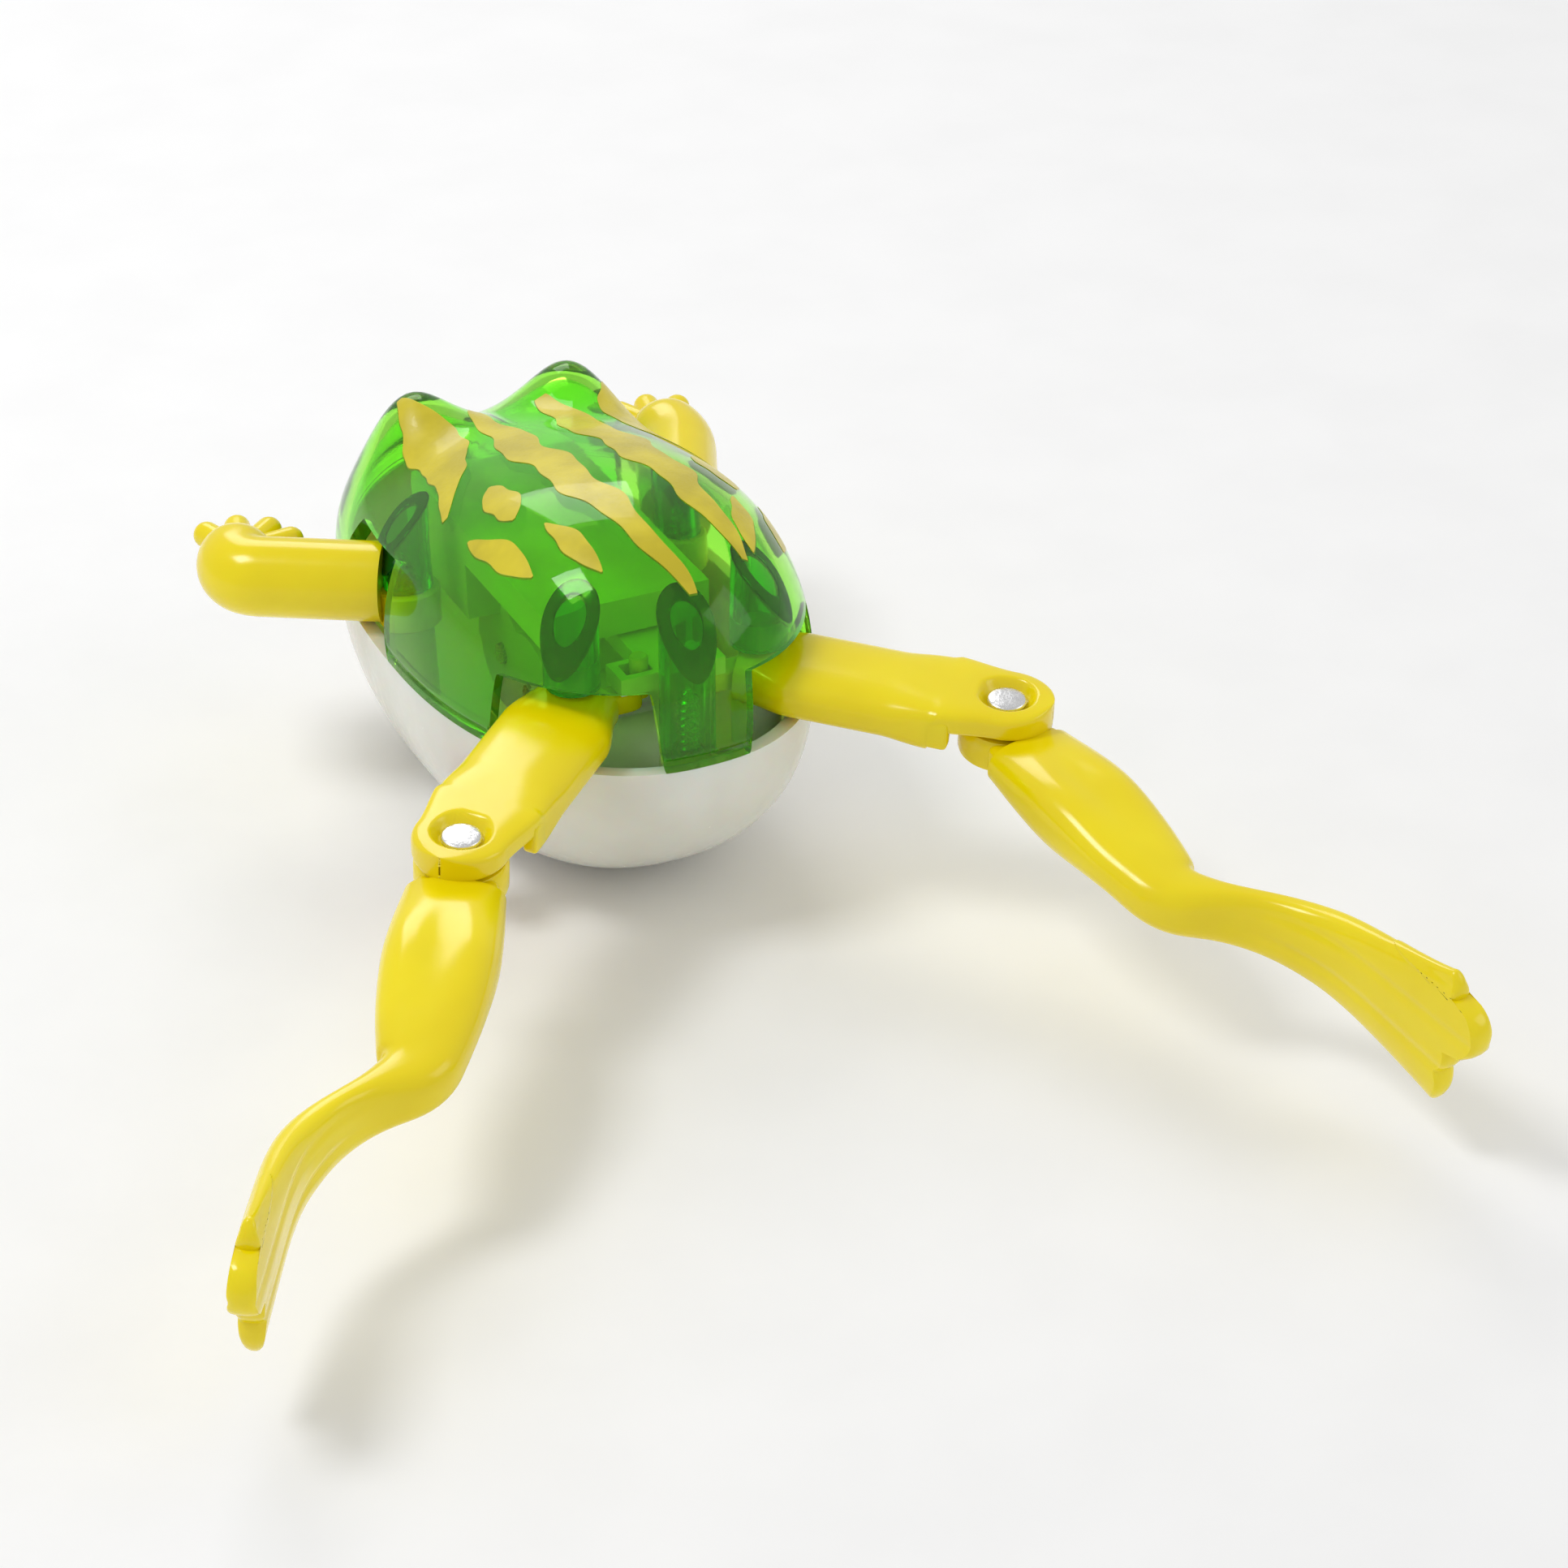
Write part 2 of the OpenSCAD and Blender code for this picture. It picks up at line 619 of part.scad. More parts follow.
module gear(x, at, z, turn, thick) {
    across(x) translate(at) linear_extrude(thick) gear_2d(z, turn);
}

module case_outline(grow) {
    reach_list = [[arbor_at, great_r], [second_at, wheel_r], [crank_at, wheel_r], [governor_at, flywheel_r]];
    for (p = reach_list) translate(p[0]) circle(r = p[1] + case_room + grow, $fn = 64);
    for (i = [0:2]) let (a = reach_list[i][0], b = reach_list[i + 1][0])
        translate(a) rotate(atan2(b.y - a.y, b.x - a.x)) translate([0, -case_room - 3 - grow])
            square([norm(b - a), 2 * case_room + 6 + 2 * grow]);
    for (p = motor_screw_at) translate(p) circle(r = 2.3 + grow, $fn = 40);
}
flywheel_r = 4.4;
case_room = gear_m + 0.3 + case_wall;
motor_screw_at = [step(second_at, wheel_r + 3.4, 112), step(governor_at, flywheel_r + 2.9, 40)];
bearings = [arbor_at, second_at, crank_at, governor_at];

module case_half(x0, x1, plate_low) {
    difference() {
        across(x0) linear_extrude(x1 - x0) case_outline(0);
        across(plate_low ? x0 + case_wall : x0 - 1) linear_extrude(x1 - x0 - case_wall + 1) difference() {
            case_outline(-case_wall);
            for (p = motor_screw_at) translate(p) circle(r = 2.3, $fn = 40);
        }
        for (p = bearings) rod(x0 - 1, x1 + 1, p, (p == arbor_at ? arbor_r : shaft_r) + run_gap);
        for (p = motor_screw_at) rod(x0 - 1, x1 + 1, p, 0.9);
    }
}

// The hood over the case: low above the levers' yoke, taller ahead of it. Open from below.
hood_x = [-11, 8];
hood_y = [-17, 3.8, 18];
hood_z = [22.4, 29, 33];
module hood_block(x0, x1, cut) {
    for (i = [0, 1])
        translate([x0, hood_y[i] + cut, hood_z[1 - i] - cut])
            cube([x1 - x0, hood_y[i + 1] - hood_y[i] - 2 * cut, hood_z[2] - hood_z[1 - i]]);
}

module hood_half(x0, x1, inner_x0, inner_x1) {
    difference() {
        hood_block(x0, x1, 0);
        hood_block(inner_x0, inner_x1, case_wall);
    }
}

module motor_case_left() {
    color(motor_white) {
        case_half(motor_left, case_split_x, true);
        hood_half(hood_x[0], case_split_x, hood_x[0] + case_wall, case_split_x + 1);
    }
}

module motor_case_right() {
    color(motor_white) {
        case_half(case_split_x, motor_right, false);
        hood_half(case_split_x, hood_x[1], case_split_x - 1, hood_x[1] - case_wall);
    }
}

module motor_screws() {
    color(steel_grey) for (p = motor_screw_at) {
        rod(motor_left - 1, motor_left, p, 1.7);
        rod(motor_left - 0.1, motor_right - 0.4, p, 0.86);
    }
}

knob_x = -20.2;
knob_t = 2.8;
knob_ribs = 12;
module winding_knob() {
    color(knob_red) difference() {
        union() {
            rod(knob_x - knob_t, knob_x, arbor_at, knob_r - 0.4);
            for (i = [0:knob_ribs - 1])
                rod(knob_x - knob_t + 0.3, knob_x, step(arbor_at, knob_r - 0.7, i * 360 / knob_ribs), 0.7);
            rod(knob_x - 0.1, knob_x + 0.5, arbor_at, arbor_r + 0.9);
        }
        rod(knob_x - knob_t + 0.8, knob_x + 2, arbor_at, arbor_r);
    }
}

module winding_arbor() {
    color(steel_grey) rod(knob_x - knob_t + 0.8, motor_right + 0.4, arbor_at, arbor_r);
}

module great_gear() {
    color(gear_cream) difference() {
        gear(great_x, arbor_at, great_teeth, train_turns[0], gear_t);
        rod(great_x - 1, great_x + gear_t + 1, arbor_at, arbor_r);
    }
}

spring_strip = 0.3;
spring_turns = 4;
spring_steps = 28;
// A flat spiral of strip: its inner end lies by the arbor, its outer end on the case's wall
module mainspring() {
    inner = arbor_r + 0.15 + spring_strip / 2;
    outer = great_r + case_room - case_wall - spring_strip / 2 - 0.02;
    count = spring_turns * spring_steps;
    function mid(i) = inner + (outer - inner) * i / count;
    function at(i, off) = (mid(i) + off) * [cos(360 * i / spring_steps), sin(360 * i / spring_steps)];
    color(steel_grey) across(spring_x) translate(arbor_at) linear_extrude(spring_t - 0.2)
        polygon(concat([for (i = [0:count]) at(i, spring_strip / 2)],
                       [for (i = [count:-1:0]) at(i, -spring_strip / 2)]));
}

module second_shaft() {
    color(steel_grey) rod(motor_left - 0.4, motor_right + 0.4, second_at, shaft_r);
}

module second_gear() {
    color(gear_cream) difference() {
        union() {
            gear(great_x, second_at, pinion_teeth, mate(train_turns[0], pinion_teeth), gear_t + slot_gap + 0.1);
            gear(wheel_x, second_at, wheel_teeth, train_turns[1], gear_t);
        }
        rod(great_x - 1, wheel_x + gear_t + 1, second_at, shaft_r);
    }
}

crank_disc_r = 3.4;
crank_pin_r = 0.8;
crank_disc_x = motor_right + 0.5;
crank_disc_t = 1.6;
module crank_shaft() {
    color(steel_grey) rod(motor_left - 0.4, crank_disc_x + crank_disc_t, crank_at, shaft_r);
}

module crank_gear() {
    color(gear_cream) difference() {
        union() {
            gear(wheel_x, crank_at, pinion_teeth, mate(train_turns[1], pinion_teeth), gear_t + slot_gap + 0.1);
            gear(fast_x, crank_at, wheel_teeth, train_turns[2], gear_t);
        }
        rod(wheel_x - 1, fast_x + gear_t + 1, crank_at, shaft_r);
    }
}

module crank_disc() {
    color(gear_cream) difference() {
        union() {
            rod(crank_disc_x, crank_disc_x + crank_disc_t, crank_at, crank_disc_r);
            rod(crank_disc_x, crank_disc_x + crank_disc_t + 3, step(crank_at, crank_throw, 90), crank_pin_r);
        }
        rod(crank_disc_x - 1, crank_disc_x + crank_disc_t, crank_at, shaft_r);
    }
}

module governor_shaft() {
    color(steel_grey) rod(motor_left - 0.4, motor_right + 0.4, governor_at, shaft_r);
}

module governor_flywheel() {
    color(gear_cream) difference() {
        union() {
            rod(great_x, great_x + gear_t, governor_at, flywheel_r);
            rod(great_x, fast_x + 0.1, governor_at, shaft_r + 0.9);
            gear(fast_x, governor_at, pinion_teeth, mate(train_turns[2], pinion_teeth), gear_t);
        }
        rod(great_x - 1, fast_x + gear_t + 1, governor_at, shaft_r);
    }
}

// ---- drive yoke ---------------------------------------------------------
slot_play = 0.15;
yoke_travel = lever_len * sin(hip_swing);
tongue_x = crank_disc_x + crank_disc_t + 0.4;
tongue_t = 2;
window_h = crank_throw + crank_pin_r + slot_play;
yoke_wall = 0.8;
slot_h = lever_pin_r + slot_play;
module drive_yoke() {
    color(motor_white) difference() {
        union() {
            translate([-5.9, hip_y - slot_h - yoke_wall, yoke_z]) cube([11.8, 2 * (slot_h + yoke_wall), yoke_t]);
            translate([-2.4, hip_y + slot_h, yoke_z]) cube([4.8, crank_at[0] - hip_y, yoke_t]);
            translate([-2.4, crank_at[0] - 3, yoke_z]) cube([tongue_x + tongue_t + 2.4, 6, yoke_t]);
            translate([tongue_x, crank_at[0] - window_h - yoke_travel - 1, crank_at[1] - window_h - 1])
                cube([tongue_t, 2 * window_h + yoke_travel + 2, yoke_z + yoke_t - crank_at[1] + window_h + 1]);
        }
        for (s = sides) translate([s * 3.45 - 1.5, hip_y - slot_h, yoke_z - 1]) cube([3, 2 * slot_h, yoke_t + 2]);
        translate([tongue_x - 1, crank_at[0] - window_h - yoke_travel, crank_at[1] - window_h])
            cube([tongue_t + 2, 2 * window_h + yoke_travel, 2 * window_h]);
    }
}

upper_shell();
lower_shell();
shell_screws();
left_thigh();
right_thigh();
left_shank();
right_shank();
left_knee_rivet();
right_knee_rivet();
left_arm();
right_arm();
motor_case_left();
motor_case_right();
motor_screws();
winding_knob();
winding_arbor();
great_gear();
mainspring();
second_shaft();
second_gear();
crank_shaft();
crank_gear();
crank_disc();
governor_shaft();
governor_flywheel();
drive_yoke();
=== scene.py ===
# %% [markdown]
# # A clockwork swimming frog
# The real toy is two clear or milky moulded shells round a spring motor, with solid yellow limbs
# on rivets. The frame holds the exact parts. Here each visible moulding gets a smooth skin worked
# out from the same formulas, and every surface gets its finish.

import bmesh
import bpy
import numpy as np
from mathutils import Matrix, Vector


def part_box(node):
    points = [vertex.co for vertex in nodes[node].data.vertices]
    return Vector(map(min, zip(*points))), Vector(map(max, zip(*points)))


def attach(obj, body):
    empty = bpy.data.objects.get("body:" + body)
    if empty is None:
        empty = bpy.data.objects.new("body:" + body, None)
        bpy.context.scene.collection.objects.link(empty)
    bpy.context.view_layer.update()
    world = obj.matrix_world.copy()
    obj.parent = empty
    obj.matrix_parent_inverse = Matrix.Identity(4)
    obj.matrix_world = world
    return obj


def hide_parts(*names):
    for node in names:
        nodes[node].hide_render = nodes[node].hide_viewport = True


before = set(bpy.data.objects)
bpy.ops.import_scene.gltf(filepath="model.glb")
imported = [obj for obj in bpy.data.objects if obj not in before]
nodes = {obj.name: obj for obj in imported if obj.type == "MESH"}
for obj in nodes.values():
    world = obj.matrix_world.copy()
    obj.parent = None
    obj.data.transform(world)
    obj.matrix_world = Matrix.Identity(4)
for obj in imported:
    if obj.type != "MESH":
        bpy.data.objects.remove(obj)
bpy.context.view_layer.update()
MM = 0.001

# %% [markdown]
# ## From a grid of points to a piece
# Every new piece is one or more closed skins. A skin is a grid of points, rows by columns, that
# closes on itself across its columns. Rows that shrink to one point make the poles, and merging
# doubled points closes them. Normals are then turned outwards.

# %% Skins and how they are put together
def skin_faces(rows, cols, start, loop):
    """Four-sided faces of a grid whose columns close; with loop, the last row joins the first."""
    r, c = np.meshgrid(np.arange(rows if loop else rows - 1), np.arange(cols), indexing="ij")
    r2, c2 = (r + 1) % rows, (c + 1) % cols
    quads = np.stack([r * cols + c, r * cols + c2, r2 * cols + c2, r2 * cols + c], -1)
    return quads.reshape(-1, 4) + start


def piece(name, grids, body, material, stands_for=(), loops=False, sharp=40):
    """One object from grids of points in millimetres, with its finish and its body."""
    starts = np.cumsum([0] + [g.shape[0] * g.shape[1] for g in grids])
    points = np.concatenate([g.reshape(-1, 3) for g in grids]) * MM
    faces = np.concatenate([skin_faces(g.shape[0], g.shape[1], s, loops) for g, s in zip(grids, starts)])
    mesh = bpy.data.meshes.new(name)
    mesh.from_pydata(points.tolist(), [], faces.tolist())
    work = bmesh.new()
    work.from_mesh(mesh)
    bmesh.ops.remove_doubles(work, verts=work.verts, dist=2e-6)
    bmesh.ops.recalc_face_normals(work, faces=work.faces)
    work.to_mesh(mesh)
    work.free()
    mesh.shade_smooth()
    mesh.set_sharp_from_angle(angle=np.radians(sharp))
    mesh.materials.append(material)
    made = bpy.data.objects.new(name, mesh)
    bpy.context.scene.collection.objects.link(made)
    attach(made, body)
    if stands_for:
        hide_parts(*stands_for)
    print(name, len(mesh.vertices), "points")
    return made


def capped(rows):
    """The rows of a tube with a pole added at each end: the mean point of that end's row."""
    first = np.broadcast_to(rows[0].mean(0), rows[0].shape)
    last = np.broadcast_to(rows[-1].mean(0), rows[-1].shape)
    return np.concatenate([first[None], rows, last[None]])


def turned(profile, count=64):
    """A profile of (radius, height) pairs turned about the Z axis."""
    turn = np.linspace(0, 2 * np.pi, count, endpoint=False)
    r, z = np.asarray(profile, float).T
    return np.stack([r[:, None] * np.cos(turn), r[:, None] * np.sin(turn), np.tile(z[:, None], count)], -1)


def ease(v, lo, hi):
    """Smooth step from 0 at lo to 1 at hi."""
    u = np.clip((v - lo) / (hi - lo), 0, 1)
    return u * u * (3 - 2 * u)


def spow(v, power):
    """A power that keeps the sign, for superellipses."""
    return np.sign(v) * np.abs(v) ** power


# %% [markdown]
# ## Finishes
# Injection-moulded plastic is never quite even: its tone drifts, its gloss has faint haze and
# rubbed places, and its face ripples where it shrank. One shared group makes all three from noise
# on Object coordinates, and each plastic and metal uses it with its own amounts.

# %% The shared moulded finish
def moulded_finish():
    """Group: Scale, Ripple, Gloss and Haze in; Tone, Roughness and Normal out, varying over the surface."""
    tree = bpy.data.node_groups.new("Moulded finish", "ShaderNodeTree")
    for label, value in (("Scale", 1.0), ("Ripple", 0.1), ("Gloss", 0.2), ("Haze", 0.1)):
        tree.interface.new_socket(label, in_out="INPUT", socket_type="NodeSocketFloat").default_value = value
    for label in ("Tone", "Roughness"):
        tree.interface.new_socket(label, in_out="OUTPUT", socket_type="NodeSocketFloat")
    tree.interface.new_socket("Normal", in_out="OUTPUT", socket_type="NodeSocketVector")
    new, link = tree.nodes.new, tree.links.new
    inside, outside = new("NodeGroupInput"), new("NodeGroupOutput")
    place = new("ShaderNodeTexCoord")
    size = new("ShaderNodeVectorMath")
    size.operation = "SCALE"
    link(place.outputs["Object"], size.inputs[0])
    link(inside.outputs["Scale"], size.inputs["Scale"])
    drift, ripple, rub = new("ShaderNodeTexNoise"), new("ShaderNodeTexNoise"), new("ShaderNodeTexNoise")
    for noise, scale, detail in ((drift, 60, 3), (ripple, 210, 2), (rub, 900, 5)):
        noise.inputs["Scale"].default_value = scale
        noise.inputs["Detail"].default_value = detail
        link(size.outputs["Vector"], noise.inputs["Vector"])
    link(drift.outputs["Fac"], outside.inputs["Tone"])
    haze = new("ShaderNodeMapRange")
    haze.inputs["From Min"].default_value, haze.inputs["From Max"].default_value = 0.45, 0.75
    link(rub.outputs["Fac"], haze.inputs["Value"])
    amount = new("ShaderNodeMath")
    amount.operation = "MULTIPLY_ADD"
    link(haze.outputs["Result"], amount.inputs[0])
    link(inside.outputs["Haze"], amount.inputs[1])
    link(inside.outputs["Gloss"], amount.inputs[2])
    link(amount.outputs["Value"], outside.inputs["Roughness"])
    bump = new("ShaderNodeBump")
    bump.inputs["Distance"].default_value = 0.00012
    link(inside.outputs["Ripple"], bump.inputs["Strength"])
    link(ripple.outputs["Fac"], bump.inputs["Height"])
    link(bump.outputs["Normal"], outside.inputs["Normal"])
    return tree


MOULDED = moulded_finish()


def finish(name, dark, light, gloss, haze, ripple, scale=1.0, **sockets):
    """A material whose colour drifts between dark and light; other sockets are set plainly."""
    made = bpy.data.materials.new(name)
    made.use_nodes = True
    tree = made.node_tree
    shader = tree.nodes["Principled BSDF"]
    group = tree.nodes.new("ShaderNodeGroup")
    group.node_tree = MOULDED
    for label, value in (("Scale", scale), ("Ripple", ripple), ("Gloss", gloss), ("Haze", haze)):
        group.inputs[label].default_value = value
    spread = tree.nodes.new("ShaderNodeMapRange")
    spread.inputs["From Min"].default_value, spread.inputs["From Max"].default_value = 0.35, 0.65
    mix = tree.nodes.new("ShaderNodeMix")
    mix.data_type = "RGBA"
    mix.inputs["A"].default_value = (*dark, 1)
    mix.inputs["B"].default_value = (*light, 1)
    tree.links.new(group.outputs["Tone"], spread.inputs["Value"])
    tree.links.new(spread.outputs["Result"], mix.inputs["Factor"])
    tree.links.new(mix.outputs["Result"], shader.inputs["Base Color"])
    tree.links.new(group.outputs["Roughness"], shader.inputs["Roughness"])
    tree.links.new(group.outputs["Normal"], shader.inputs["Normal"])
    for label, value in sockets.items():
        shader.inputs[label.replace("_", " ")].default_value = value
    return made


# %% The plastics and metals
clear_green = finish("Clear green plastic", (0.30, 0.97, 0.05), (0.46, 1.0, 0.10), 0.03, 0.05, 0.06,
                     Transmission_Weight=0.95, IOR=1.33)
deep_green = finish("Thick green plastic", (0.03, 0.60, 0.04), (0.08, 0.72, 0.08), 0.05, 0.06, 0.06,
                    Transmission_Weight=0.9, IOR=1.42)
# The boss roots' near-black green is painted shade: it stands in for the dark seen where each tube meets the
# back.
root_shade_green = finish("Painted shade at boss roots", (0.0, 0.20, 0.04), (0.01, 0.28, 0.06), 0.12, 0.06, 0.06,
                    Transmission_Weight=0.6, IOR=1.42)
milk_plastic = finish("Milky plastic", (0.74, 0.73, 0.66), (0.84, 0.83, 0.78), 0.16, 0.12, 0.05,
                      Subsurface_Weight=0.35, Subsurface_Scale=0.004, IOR=1.48)
yellow_plastic = finish("Yellow plastic", (0.86, 0.68, 0.0), (0.93, 0.76, 0.0), 0.17, 0.06, 0.05,
                        Subsurface_Weight=0.06, Subsurface_Scale=0.002, IOR=1.5)
gold_paint = finish("Gold paint", (0.55, 0.45, 0.005), (0.72, 0.60, 0.01), 0.34, 0.18, 0.2, 3.0,
                    Coat_Weight=0.2)
white_plastic = finish("White motor plastic", (0.80, 0.80, 0.77), (0.90, 0.90, 0.88), 0.35, 0.15, 0.1)
cream_plastic = finish("Cream gear plastic", (0.80, 0.72, 0.50), (0.88, 0.82, 0.62), 0.35, 0.15, 0.1)
red_plastic = finish("Red plastic", (0.50, 0.02, 0.02), (0.66, 0.03, 0.03), 0.25, 0.15, 0.1)
aluminium = finish("Peened aluminium", (0.78, 0.78, 0.79), (0.92, 0.92, 0.93), 0.24, 0.25, 0.55, 6.0,
                   Metallic=1.0)
steel = finish("Bright steel", (0.50, 0.50, 0.52), (0.66, 0.66, 0.68), 0.22, 0.2, 0.2, 4.0,
               Metallic=1.0)
print("finishes:", len(bpy.data.materials))

# %% [markdown]
# ## The two shells
# The body is a superellipse in plan and in section, with two eye bumps pushed up out of the back.
# A point is set by its turn round the rim and its rise from the rim to the crown. The outer and the
# inner face are two such skins, `wall` apart, joined along the open edge, so that light bends
# through a real wall of clear plastic.

# %% The body's form
low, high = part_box("lower_shell")
half_w, front, rear = high.x / MM, high.y / MM, -low.y / MM
rim_z = 21.5
dome_h, dome_slope = 20.8, 0.19
power = 2.3
wall = 1.6
belly_cut, hull_slope = 1.2, 0.05
eye_x, eye_y, eye_h, eye_spread = 10.6, 24.0, 8.4, 4.6
print("shell half width, front, rear:", round(half_w, 2), round(front, 2), round(rear, 2))


def rim_point(turn, cut):
    """Plan outline: a superellipse, longer towards the nose, inset by cut."""
    reach = np.where(np.cos(turn) > 0, front, rear) - cut
    return (half_w - cut) * spow(np.sin(turn), 2 / power), reach * spow(np.cos(turn), 2 / power)


def back_height(x, y, cut=0.0):
    """Height of the back over a place in plan: a superellipse section plus the eye bumps."""
    reach = np.where(y > 0, front, rear) - cut
    inside = np.clip(1 - (np.abs(x) / (half_w - cut)) ** power - (np.abs(y) / reach) ** power, 0, 1)
    eyes = (eye_h - cut * 0.3) * np.exp(-((np.abs(x) - eye_x) ** 2 + (y - eye_y) ** 2) / (2 * eye_spread**2))
    return rim_z + (dome_h - cut - dome_slope * y + eyes) * inside ** (1 / power)


def back_grid(turn, rise, cut):
    """The back's skin: the rim outline drawn in as it rises, lifted to the back's height."""
    x, y = rim_point(turn, cut)
    draw = np.cos(rise) ** (2 / power)
    x, y = x * draw, y * draw
    lift = np.sin(rise) ** (2 / power)
    eyes = (eye_h - cut * 0.3) * np.exp(-((np.abs(x) - eye_x) ** 2 + (y - eye_y) ** 2) / (2 * eye_spread**2))
    return np.stack([x, y, rim_z + (dome_h - cut - dome_slope * y + eyes) * lift], -1)


def hull_grid(turn, drop, cut):
    """The hull's skin: the same outline drawn in as it drops, cut off flat at the belly."""
    x, y = rim_point(turn, cut)
    draw = np.cos(drop) ** (2 / power)
    x, y = x * draw, y * draw
    fall = np.sin(drop) ** (2 / power)
    depth = (rim_z + belly_cut - cut + hull_slope * y * (1 - fall)) * fall
    return np.stack([x, y, np.maximum(cut, rim_z - depth)], -1)


# %% Openings for the limbs
leg_cut, leg_cut_h = (122, 170), 7.6
arm_cut_right, arm_cut_left, arm_cut_h = (51, 89.5), (65.5, 89.5), 12
edge_run = 3.0


def opening(turn_deg, span):
    """1 inside an opening, 0 outside, with soft ends edge_run degrees long."""
    inside = ease(turn_deg, span[0], span[0] + edge_run)
    return inside * (1 - ease(turn_deg, span[1] - edge_run, span[1]))


def edge_turn(turn_deg):
    """Rise at which the upper shell starts, for each turn: higher over the legs and the arms."""
    folded = np.where(turn_deg > 180, 360 - turn_deg, turn_deg)
    arm = np.where(turn_deg > 180, opening(folded, arm_cut_left), opening(folded, arm_cut_right))
    height = leg_cut_h * opening(folded, leg_cut) + arm_cut_h * arm
    return np.arcsin((height / (dome_h + 2)) ** (power / 2))


# %% Upper and lower shell
ends = np.array([*leg_cut, *arm_cut_right, arm_cut_left[0]])
near_ends = (ends[:, None] + np.linspace(-3.2, 3.2, 17)).ravel()
half_turns = np.unique(np.round(np.concatenate([np.linspace(0, 180, 121), near_ends]), 3))
turn_deg = np.concatenate([half_turns, 360 - half_turns[-2:0:-1]])
turn = np.radians(turn_deg)
rises = 66
share = (np.linspace(0, 1, rises) ** 1.9)[:, None]
start = edge_turn(turn_deg)[None, :]
rise = start + (np.pi / 2 - start) * share

outer = back_grid(turn[None, :], rise, 0.0)
# A fine step runs round the rim just over the edge: a shallow groove cut into the outer skin.
groove = 0.22 * np.exp(-(((outer[..., 2] - rim_z - 1.3) / 0.26) ** 2))
outer[..., :2] *= (1 - groove / half_w)[..., None]
inner = back_grid(turn[None, :], rise, wall)
shell_rows = np.concatenate([outer, inner[::-1]])
# The two rows at the crown, outer and inner, shrink to a point each.
for crown in (rises - 1, rises):
    shell_rows[crown] = shell_rows[crown].mean(0)

drop = (np.pi / 2) * (np.linspace(0, 1, 48) ** 1.2)[:, None]
hull_outer = hull_grid(turn[None, :], drop, 0.0)
hull_inner = hull_grid(turn[None, :], drop, wall)
hull_rows = np.concatenate([hull_outer, hull_inner[::-1]])
print("shell rows:", shell_rows.shape, "hull rows:", hull_rows.shape)

# %% [markdown]
# ## Bosses inside the shells
# Screws and hip pins need something to bite into, so tubes stand inside: three at the tail end and
# one over each arm. A tube is a ring section carried from its foot up to the underside of the back,
# where it is buried a little in the wall, as it is moulded in one with it.

# %% Tubes under the back and posts in the hull
hip_x, hip_y, thigh_mid, thigh_t = 10.5, -23.3, 25.1, 5.8
tail_y, tail_joint = -28.4, 20.5
arm_x, arm_y, arm_low = 16.2, 8.0, 21.65
boss_r, bore_r, post_r = 2.9, 1.75, 2.7


def boss(x, y, foot, r_out=boss_r, r_in=bore_r):
    """A tube at x, y from the height foot up into the back's wall, its top following the wall."""
    spin = np.linspace(0, 2 * np.pi, 56, endpoint=False)
    cx, cy = x + r_out * np.cos(spin), y + r_out * np.sin(spin)
    ix, iy = x + r_in * np.cos(spin), y + r_in * np.sin(spin)
    t = np.linspace(0, 1, 12)[:, None]
    top_out, top_in = back_height(cx, cy, wall) + 0.35, back_height(ix, iy, wall) + 0.35
    out = np.stack([np.tile(cx, (12, 1)), np.tile(cy, (12, 1)), foot + (top_out - foot) * t], -1)
    back = np.stack([np.tile(ix, (12, 1)), np.tile(iy, (12, 1)), foot + (top_in - foot) * t], -1)
    return np.concatenate([out, back[::-1]])


def boss_root(x, y):
    """The thick ring where a tube joins the back: a low collar that follows the wall's underside. Its dark
    colour is painted shade.
    """
    spin = np.linspace(0, 2 * np.pi, 56, endpoint=False)
    ring = [(boss_r + 0.05, 0.3), (boss_r + 0.15, 0.0), (bore_r - 0.1, 0.0), (bore_r - 0.02, 0.3)]
    rows = []
    for r, d in ring:
        px, py = x + r * np.cos(spin), y + r * np.sin(spin)
        rows.append(np.stack([px, py, back_height(px, py, wall) - d], -1))
    return np.stack(rows)


def hull_height(x, y, cut):
    """Height of the hull's skin under a place in plan."""
    reach = np.where(y > 0, front, rear) - cut
    inside = np.clip(1 - (np.abs(x) / (half_w - cut)) ** power - (np.abs(y) / reach) ** power, 0, 1)
    fall = inside ** (1 / power)
    return np.maximum(cut, rim_z - (rim_z + belly_cut - cut + hull_slope * y * (1 - fall)) * fall)


def post(x, y, z1, r, rounding=0.3):
    """A solid round post from inside the hull's wall up to z1, with a softened top edge."""
    profile = [(0, 0), (r, 0), (r, z1 - rounding), (r - 0.3 * rounding, z1 - 0.3 * rounding),
               (r - rounding, z1), (0, z1)]
    rows = turned(profile, 48) + np.array([x, y, 0])
    rows[:2, :, 2] = hull_height(rows[:2, :, 0], rows[:2, :, 1], wall) - 0.5
    return rows


bosses = [boss(0, tail_y, tail_joint + 0.1)]
bosses += [boss(s * hip_x, hip_y, thigh_mid + thigh_t / 2 + 0.2) for s in (-1, 1)]
bosses += [boss(s * arm_x, arm_y, arm_low + 4.25) for s in (-1, 1)]
piece("upper_shell_skin", [shell_rows], "body", clear_green, ["upper_shell"], loops=True)
piece("upper_shell_bosses", bosses, "body", deep_green, loops=True)
# Each tube's top gets a low dark collar whose colour is painted shade.
boss_places = [(0, tail_y), (-hip_x, hip_y), (hip_x, hip_y), (-arm_x, arm_y), (arm_x, arm_y)]
piece("upper_shell_boss_root_shade", [boss_root(x, y) for x, y in boss_places], "body", root_shade_green,
      loops=True)
piece("lower_shell_skin", [hull_rows], "body", milk_plastic, ["lower_shell"], loops=True)
hull_posts = [post(0, tail_y, tail_joint, boss_r)]
